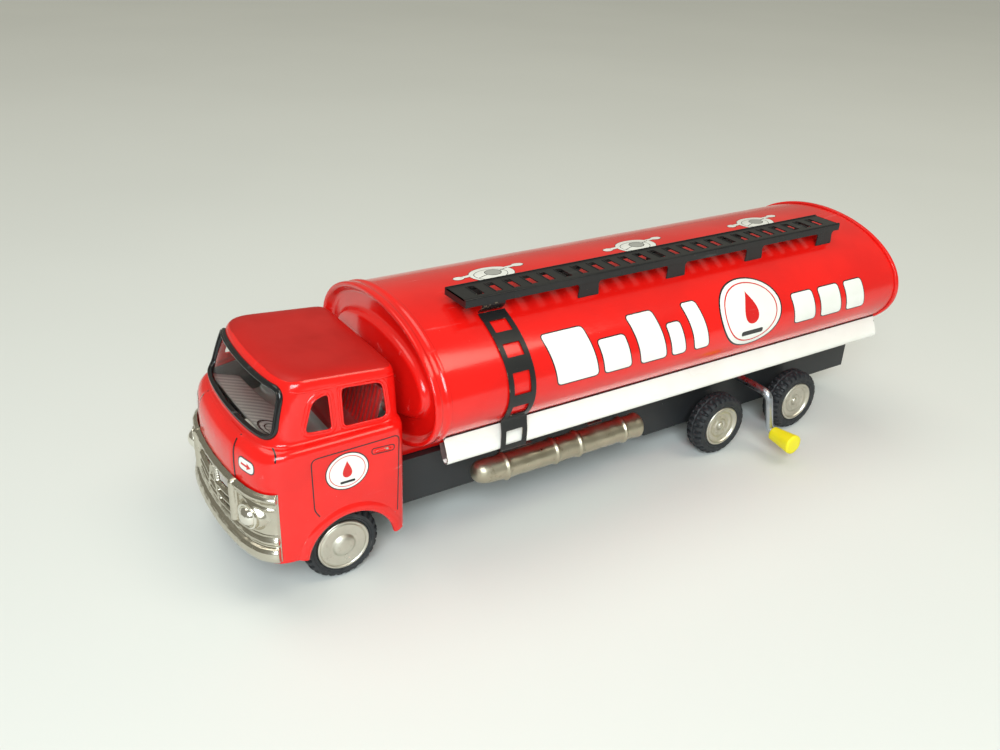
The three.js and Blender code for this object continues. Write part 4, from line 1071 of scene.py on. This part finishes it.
def build_walkway():
    x0, x1, y0, y1, top = 11.5, 23.5, 44.0, 214.0, 84.15
    slots = 24
    pitch = (y1 - y0 - 8) / slots
    holes = []
    for i in range(slots):
        y = y0 + 4 + (i + 0.5) * pitch
        near, far = x0 + 2.2, x1 - 2.6
        holes.append(rounded([(y - 1.35, near), (y - 1.35, far), (y + 1.35, far), (y + 1.35, near)], 0.4, 3))
    deck_outline = [(y0, x0 + 0.35), (y1, x0 + 0.35), (y1, x1 - 0.35), (y0, x1 - 0.35)]
    loops = [[Vector((u, v, 0)) for u, v in loop] for loop in (deck_outline, *holes)]
    corners = [p for loop in loops for p in loop]
    faces = [tuple(t) for t in tessellate_polygon(loops)]
    pts = np.array([(p.y, p.x, top) for p in corners])
    n = np.cross(pts[faces[0][1]] - pts[faces[0][0]], pts[faces[0][2]] - pts[faces[0][0]])
    faces = [f[::-1] if n[2] < 0 else f for f in faces]
    piece("walkway_deck", pts, faces, "black", stands_for="walkway", solidify=SKIN, worn=LIGHT_WEAR)
    for label, x, s in (("outer", x1, 1), ("inner", x0, -1)):
        prof = rounded([(x - s * 0.36, top), (x, top), (x, top - 2.35)], [0, 0.45, 0], 5, closed=False)
        ys = np.linspace(y0, y1, 60)
        rows = [(px, y, pz) for y in ys for px, pz in prof]
        piece(
            f"walkway_flange_{label}", rows, grid_faces(len(ys), len(prof), flip=s > 0), "black",
            solidify=SKIN, sharp=60, worn=LIGHT_WEAR
        )
        rail = [(x - s * 0.75, y, top - 0.02) for y in ys]
        piece(f"walkway_bead_{label}", *tube(rail, 0.3, 8, flat=0.55), "black", worn=LIGHT_WEAR)
    for label, y in (("front", y0), ("rear", y1)):
        rows = [(x, y, z) for x in np.linspace(x0, x1, 10) for z in (top, top - 2.3)]
        piece(
            f"walkway_end_{label}", rows, grid_faces(10, 2, flip=label == "rear"), "black",
            solidify=SKIN, worn=LIGHT_WEAR
        )
    # louvre lips raised at the front edge of each slot
    for i, hole in enumerate(holes):
        y = min(p[0] for p in hole)
        lip = [(x, y - 0.1, top + 0.02) for x in np.linspace(x0 + 2.3, x1 - 2.7, 8)]
        piece(f"walkway_lip_{i}", *tube(lip, 0.2, 6), "black", worn=LIGHT_WEAR)
    for i, y in enumerate((53.3, 91.7, 130.1, 168.5, 206.9)):
        for label, x in (("outer", x1 - 0.18), ("inner", x0 + 0.18)):
            if i == 0 and label == "outer":
                continue
            foot = TZ + TB * math.sqrt(1 - (x / TA) ** 2) + 0.1
            outline = rounded(
                [
                    (y - 4.3, foot), (y + 4.3, foot), (y + 3.9, top - 3.2), (y + 5.4, top - 2.2),
                    (y - 5.4, top - 2.2), (y - 3.9, top - 3.2)
                ],
                [0.4, 0.4, 1, 0.3, 0.3, 1], 4
            )
            pts2, faces2 = flat_mesh(outline, step=3)
            rows = [(x, u, v) for u, v in pts2]
            n = np.cross(
                np.subtract(rows[faces2[0][1]], rows[faces2[0][0]]),
                np.subtract(rows[faces2[0][2]], rows[faces2[0][0]])
            )
            want = 1 if label == "outer" else -1
            faces2 = [f[::-1] if n[0] * want < 0 else f for f in faces2]
            piece(f"walkway_leg_{label}_{i}", rows, faces2, "black", solidify=SKIN, worn=LIGHT_WEAR)


def build_ladder():
    y0, y1 = 49.95, 59.65
    path = []
    lift = 0.75
    for turn in np.linspace(1.02, -0.46, 80):
        path.append(((TA + lift) * math.cos(turn), TZ + (TB + lift) * math.sin(turn)))
    path = path + [(37.75, 43.0), (37.75, 39.5), (37.5, 36.7), (36.9, 36.15), (34.6, 36.0)]
    path = resample_open(rounded(path, 0.9, 4, closed=False), 260)
    lengths = np.concatenate([[0], np.cumsum(np.linalg.norm(np.diff(path, axis=0), axis=1))])

    def at_height(z):
        k = int(np.argmin(np.abs(path[:, 1] - z)))
        return float(lengths[k])

    edges = []
    for angles in ((52.5, 44.4), (36.7, 27.4), (17.0, 0.0), (-10.5, -21.0)):
        edges.append(tuple(at_height(TZ + (TB + lift) * math.sin(math.radians(a))) for a in angles))
    edges.append((at_height(43.6), at_height(38.6)))
    holes = [rounded([(51.7, a), (57.9, a), (57.9, b), (51.7, b)], 0.3, 2) for a, b in edges]
    outline = [(y0, 0), (y1, 0), (y1, lengths[-1]), (y0, lengths[-1])]
    points, faces = flat_mesh(outline, holes, step=0.9)
    rows = []
    for y, s in points:
        x, z = (np.interp(s, lengths, path[:, k]) for k in (0, 1))
        rows.append((x, y, z))
    rows = np.array(rows)
    n = np.cross(rows[faces[0][1]] - rows[faces[0][0]], rows[faces[0][2]] - rows[faces[0][0]])
    if n @ (rows[faces[0][0]] - np.array((0, 54.8, TZ))) < 0:
        faces = [f[::-1] for f in faces]
    piece("ladder_tin", rows, faces, "black", stands_for="ladder", solidify=SKIN, sharp=50)
    # the worn top tab, folded up to the walkway
    tab = rounded([(20.6, 77.8), (23.1, 80.2), (23.2, 82.0)], 1.2, 5, closed=False)
    rows = [(x, y, z) for x, z in tab for y in (50.6, 59.0)]
    piece("ladder_tab", rows, grid_faces(len(tab), 2), "black", solidify=SKIN)


def build_exhaust():
    x, z, r = 27.5, 23.3, 4.3
    prof = [(0.02, 46.4), (1.3, 46.55), (2.5, 47.1), (3.4, 48.1), (3.95, 49.4), (4.15, 51.0), (4.2, 54.0)]
    for y, w in ((58.0, 0.8), (78.0, 0.8), (88.0, 0.8), (108.0, 0.8)):
        prof += [
            (r, y - 1.6), (r + 0.05, y - w), (r + 0.5, y - 0.35), (r + 0.6, y), (r + 0.5, y + 0.35),
            (r + 0.05, y + w), (r, y + 1.6)
        ]
    prof += [
        (r, 113.0), (r + 0.25, 114.6), (r + 0.2, 115.6), (r - 0.4, 116.3), (r - 1.4, 116.5),
        (0.02, 116.45)
    ]
    dense = resample_open(rounded(prof, 0.35, 3, closed=False), 260)
    seg = 72
    rows = []
    for radius, y in dense:
        for t in np.arange(seg) * 2 * math.pi / seg:
            wob = 0.05 * math.sin(y * 0.9 + 2 * t)
            back = max(0.0, (60 - y) / 14)
            inward = 1.2 * min(1, back) ** 2
            reach = radius + wob * (radius > 1)
            rows.append((x - inward + reach * math.cos(t), y, z + reach * math.sin(t)))
    piece(
        "exhaust_tin", rows, grid_faces(len(dense), seg, wrap_cols=True), "nickel_aged",
        stands_for="exhaust_pipe", sharp=60
    )
    for k, y in enumerate((68.4, 98.5)):
        rows = [
            (px, py, pz) for px,
            pz in ((18.6, 26.0), (21.5, 26.6), (25.0, 27.2)) for py in (y - 3, y + 3)
        ]
        piece(f"exhaust_strap_{k}", rows, grid_faces(3, 2), "bare", solidify=0.4)


# --------------------------------------------------------------------- wheels
TYRE_R = 12.3


def tyre_points(outer_x, width, disc_r):
    """A moulded tyre: shoulder lugs left and right, a grooved sidewall and a rounded bead."""
    inner_x = outer_x - width
    mid = (inner_x + outer_x) / 2
    half = width / 2
    bead = disc_r - 0.2
    side = [
        (bead - 0.2, half - 1.6), (bead, half - 0.75), (bead + 0.55, half - 0.1), (bead + 1.0, half),
        (bead + 1.15, half - 0.18), (bead + 1.35, half - 0.18), (bead + 1.5, half), (bead + 2.2, half),
        (TYRE_R - 1.35, half - 0.12), (TYRE_R - 0.75, half - 0.55), (TYRE_R - 0.3, half - 1.1),
        (TYRE_R - 0.05, half - 1.8), (TYRE_R, half - 2.6)
    ]
    prof = side + [(r, -d) for r, d in side[::-1]]
    dense = resample_open(prof, 90)
    lugs = 28
    seg = lugs * 14
    turn = np.arange(seg) * 2 * math.pi / seg
    rows = []
    for r, d in dense:
        shift = 0.5 if d < 0 else 0.0
        wave = np.cos(turn * lugs + 2 * math.pi * shift)
        groove = np.clip((wave - 0.1) / 0.35, 0, 1)
        depth = 0.95 * smooth(
            np.array(abs(d)), half - 3.6, half - 2.6
        ) * smooth(np.array(r), TYRE_R - 1.5, TYRE_R - 0.7)
        centre = 0.35 * (1 - smooth(np.array(abs(d)), 0.35, 0.6)) * (r > TYRE_R - 0.5)
        radius = r - depth * groove - centre
        tuck = np.where(r < TYRE_R - 0.2, 0.35 * depth * groove, 0)
        xd = d - np.sign(d) * tuck
        ring = [np.broadcast_to(mid + xd, turn.shape), radius * np.cos(turn), radius * np.sin(turn)]
        rows.append(np.stack(ring, 1))
    return np.concatenate(rows), len(dense), seg


def build_wheels():
    sets = (
        ("front", 0.0, "front_wheels", 27.0, 7.5, 8.75, False),
        ("drive", 158.0, "drive_wheels", 31.0, 8.0, 8.15, True),
        ("rear", 200.0, "rear_wheels", 31.0, 8.0, 8.15, True)
    )
    for label, y, body, ox, width, dr, dished in sets:
        base, rows, seg = tyre_points(ox, width, dr)
        rim = dr - 0.35
        if dished:
            prof = [
                (0.02, ox - 0.6), (0.75, ox - 0.62), (1.1, ox - 0.95), (1.15, ox - 1.5), (1.7, ox - 1.55),
                (2.0, ox - 1.2), (2.5, ox - 1.15), (2.8, ox - 1.45), (4.6, ox - 1.35), (5.0, ox - 1.05),
                (5.6, ox - 1.0), (6.0, ox - 1.2), (6.9, ox - 0.95), (rim - 0.45, ox - 0.25),
                (rim - 0.1, ox - 0.2), (rim, ox - 0.7)
            ]
        else:
            prof = [
                (0.02, ox + 1.5), (1.2, ox + 1.45), (2.3, ox + 1.2), (3.1, ox + 0.75), (3.55, ox + 0.2),
                (3.8, ox - 0.05), (4.3, ox - 0.1), (6.9, ox - 0.02), (7.2, ox - 0.05), (7.5, ox - 0.3),
                (7.8, ox - 0.25), (rim - 0.25, ox + 0.15), (rim, ox - 0.1), (rim, ox - 0.7)
            ]
        dense = resample_open(rounded(prof, 0.25, 3, closed=False), 110)
        for side, tag in ((1, "left"), (-1, "right")):
            pts = base.copy()
            pts[:, 0] *= side
            pts[:, 1] += y
            pts[:, 2] += TYRE_R
            piece(
                f"{label}_rubber_{tag}", pts, grid_faces(rows, seg, wrap_cols=True, flip=side < 0), "rubber",
                body, stands_for=f"{label}_tyre_{tag}", sharp=45
            )
            disc = []
            for r, x in dense:
                for k in range(96):
                    t = 2 * math.pi * k / 96
                    dip = 0.0
                    if dished and 2.9 < r < 4.5:
                        dip = 0.16 * max(0, math.cos(t * 8)) ** 2 * math.sin(math.pi * (r - 2.9) / 1.6)
                    disc.append((side * (x - dip), y + r * math.cos(t), TYRE_R + r * math.sin(t)))
            piece(
                f"{label}_cover_{tag}", disc, grid_faces(len(dense), 96, wrap_cols=True, flip=side < 0),
                "nickel_matt", body, stands_for=f"{label}_disc_{tag}", sharp=50, solidify=0.25, offset=-1
            )


# ---------------------------------------------------------------------- crank
def bent_path(points, radius, step=0.5):
    """A path through the points with rounded bends."""
    out = []
    pts = [np.array(p, float) for p in points]
    for i, p in enumerate(pts):
        if i in (0, len(pts) - 1):
            out.append(p)
            continue
        a, b = pts[i - 1] - p, pts[i + 1] - p
        r = min(radius, np.linalg.norm(a) * 0.45, np.linalg.norm(b) * 0.45)
        s, e = p + a / np.linalg.norm(a) * r, p + b / np.linalg.norm(b) * r
        for k in range(9):
            t = k / 8
            out.append(s * (1 - t) ** 2 + p * 2 * t * (1 - t) + e * t * t)
    return resample_open(
        out,
        max(
            24,
            int(sum(np.linalg.norm(np.subtract(out[i + 1], out[i])) for i in range(len(out) - 1)) / step)
        )
    )


def build_crank():
    cy, cz, throw, lean, arm = 172.4, 26.7, 18.2, 0.243, 38.6
    ey, ez = cy + throw * math.sin(lean), cz - throw * math.cos(lean)
    path = bent_path([(-7.9, cy, cz), (arm, cy, cz), (arm, ey, ez), (arm + 9.0, ey, ez)], 3.6)
    piece("crank_wire", *tube(path, 1.55, 24), "steel", "crank", stands_for="crank_rod")
    start = arm + 1.85
    prof = [
        (1.75, start + 0.3), (2.1, start), (2.5, start + 0.1), (2.85, start + 0.6), (3.1, start + 3.0),
        (3.95, start + 9.6), (4.07, start + 10.2), (3.8, start + 10.75), (3.0, start + 10.95),
        (0.02, start + 11.0)
    ]
    dense = resample_open(rounded(prof, 0.4, 4, closed=False), 70)
    rows = []
    for r, x in dense:
        for k in range(72):
            t = 2 * math.pi * k / 72
            lobe = 1 - 0.035 * (0.5 + 0.5 * math.cos(6 * t)) * (r > 2.5)
            rows.append((x, ey + r * lobe * math.cos(t), ez + r * lobe * math.sin(t)))
    piece(
        "grip_cap", rows, grid_faces(len(dense), 72, wrap_cols=True), "grip", "crank_handle",
        stands_for="crank_grip", sharp=50
    )


def dress_cad():
    """Gives the CAD nodes that stay in view their materials."""
    looks = {"chassis_frame": "chassis", "tank_cradle": "red", "flywheel": "lead"}
    hidden = {o for piece_ in bpy.data.objects for o in (piece_.get("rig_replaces") or [])}
    for name, obj in frame["nodes"].items():
        if name in hidden:
            continue
        if name in looks:
            mat = M[looks[name]]
        elif name.endswith("_gear"):
            mat = M["brass"]
        elif name.startswith("motor_plate"):
            mat = M["bare"]
        else:
            mat = M["steel"]
        obj.data.materials.clear()
        obj.data.materials.append(mat)


# ------------------------------------------------------------ camera and stage
def build_stage():
    bpy.ops.mesh.primitive_grid_add(x_subdivisions=8, y_subdivisions=8, size=6)
    floor = bpy.context.object
    floor.name = "floor"
    floor.location = (-0.5, 0.6, 0)
    n = Nodes("paper_floor")
    grain = n.noise(3.0, 3.0)
    n.set(
        Base_Color=n.mix(n.ramp(grain, 0.3, 0.7), rgba(0.72, 0.74, 0.725), rgba(0.70, 0.72, 0.705)),
        Roughness=0.6
    )
    n.bump(n.noise(900, 3.0), 0.05, 0.0002)
    floor.data.materials.append(n.mat)

    def area(name, place, target, size, power, colour):
        light = bpy.data.lights.new(name, "AREA")
        light.shape = "RECTANGLE"
        light.size, light.size_y = size
        light.energy = power
        light.color = colour
        obj = bpy.data.objects.new(name, light)
        bpy.context.scene.collection.objects.link(obj)
        obj.location = place
        aim = Vector(target) - Vector(place)
        obj.rotation_euler = aim.to_track_quat("-Z", "Y").to_euler()

    sun = bpy.data.lights.new("daylight", "SUN")
    sun.energy = 0.8
    sun.angle = math.radians(40)
    sun.color = (1.0, 0.97, 0.86)
    sky = bpy.data.objects.new("daylight", sun)
    sky.rotation_euler = Vector((0.35, 0.2, -1.0)).to_track_quat("-Z", "Y").to_euler()
    bpy.context.scene.collection.objects.link(sky)
    area("lamp_over", (0.7, 0.5, 1.6), (0.0, 0.05, 0), (0.9, 0.7), 8.0, (1.0, 0.92, 0.76))
    area("window_cool", (0.75, -0.55, 0.65), (0.05, -0.05, 0.04), (0.6, 0.5), 12.0, (0.88, 0.97, 1.0))
    bpy.context.scene.view_settings.view_transform = "Standard"
    world = bpy.context.scene.world or bpy.data.worlds.new("World")
    bpy.context.scene.world = world
    world.use_nodes = True
    back = world.node_tree.nodes.get("Background")
    back.inputs[0].default_value = (0.80, 0.79, 0.66, 1)
    back.inputs[1].default_value = 0.34


def build_camera():
    yaw, pitch, roll = (math.radians(v) for v in (56.0927, 26.9853, 2.537))
    view = Vector((-math.sin(yaw) * math.cos(pitch), math.cos(yaw) * math.cos(pitch), -math.sin(pitch)))
    right = view.cross(Vector((0, 0, 1))).normalized()
    up = right.cross(view)
    r2 = math.cos(roll) * right + math.sin(roll) * up
    u2 = -math.sin(roll) * right + math.cos(roll) * up
    place = to_frame([(250.41, -94.67, 194.99)])[0]
    data = bpy.data.cameras.new("camera")
    data.sensor_width = 36.0
    data.lens = 952.26 * 36 / 1000
    data.clip_start = 0.01
    cam = bpy.data.objects.new("camera", data)
    bpy.context.scene.collection.objects.link(cam)
    back = -view
    cam.matrix_world = Matrix((
        (r2.x, u2.x, back.x, place[0]), (r2.y, u2.y, back.y, place[1]), (r2.z, u2.z, back.z, place[2]),
        (0, 0, 0, 1)
    ))
    bpy.context.scene.camera = cam


build_camera()
build_stage()
build_cab()
build_windshield()
build_seat()
build_grille()
build_tank()
build_skirts()
build_walkway()
build_ladder()
build_exhaust()
build_wheels()
build_crank()
dress_cad()
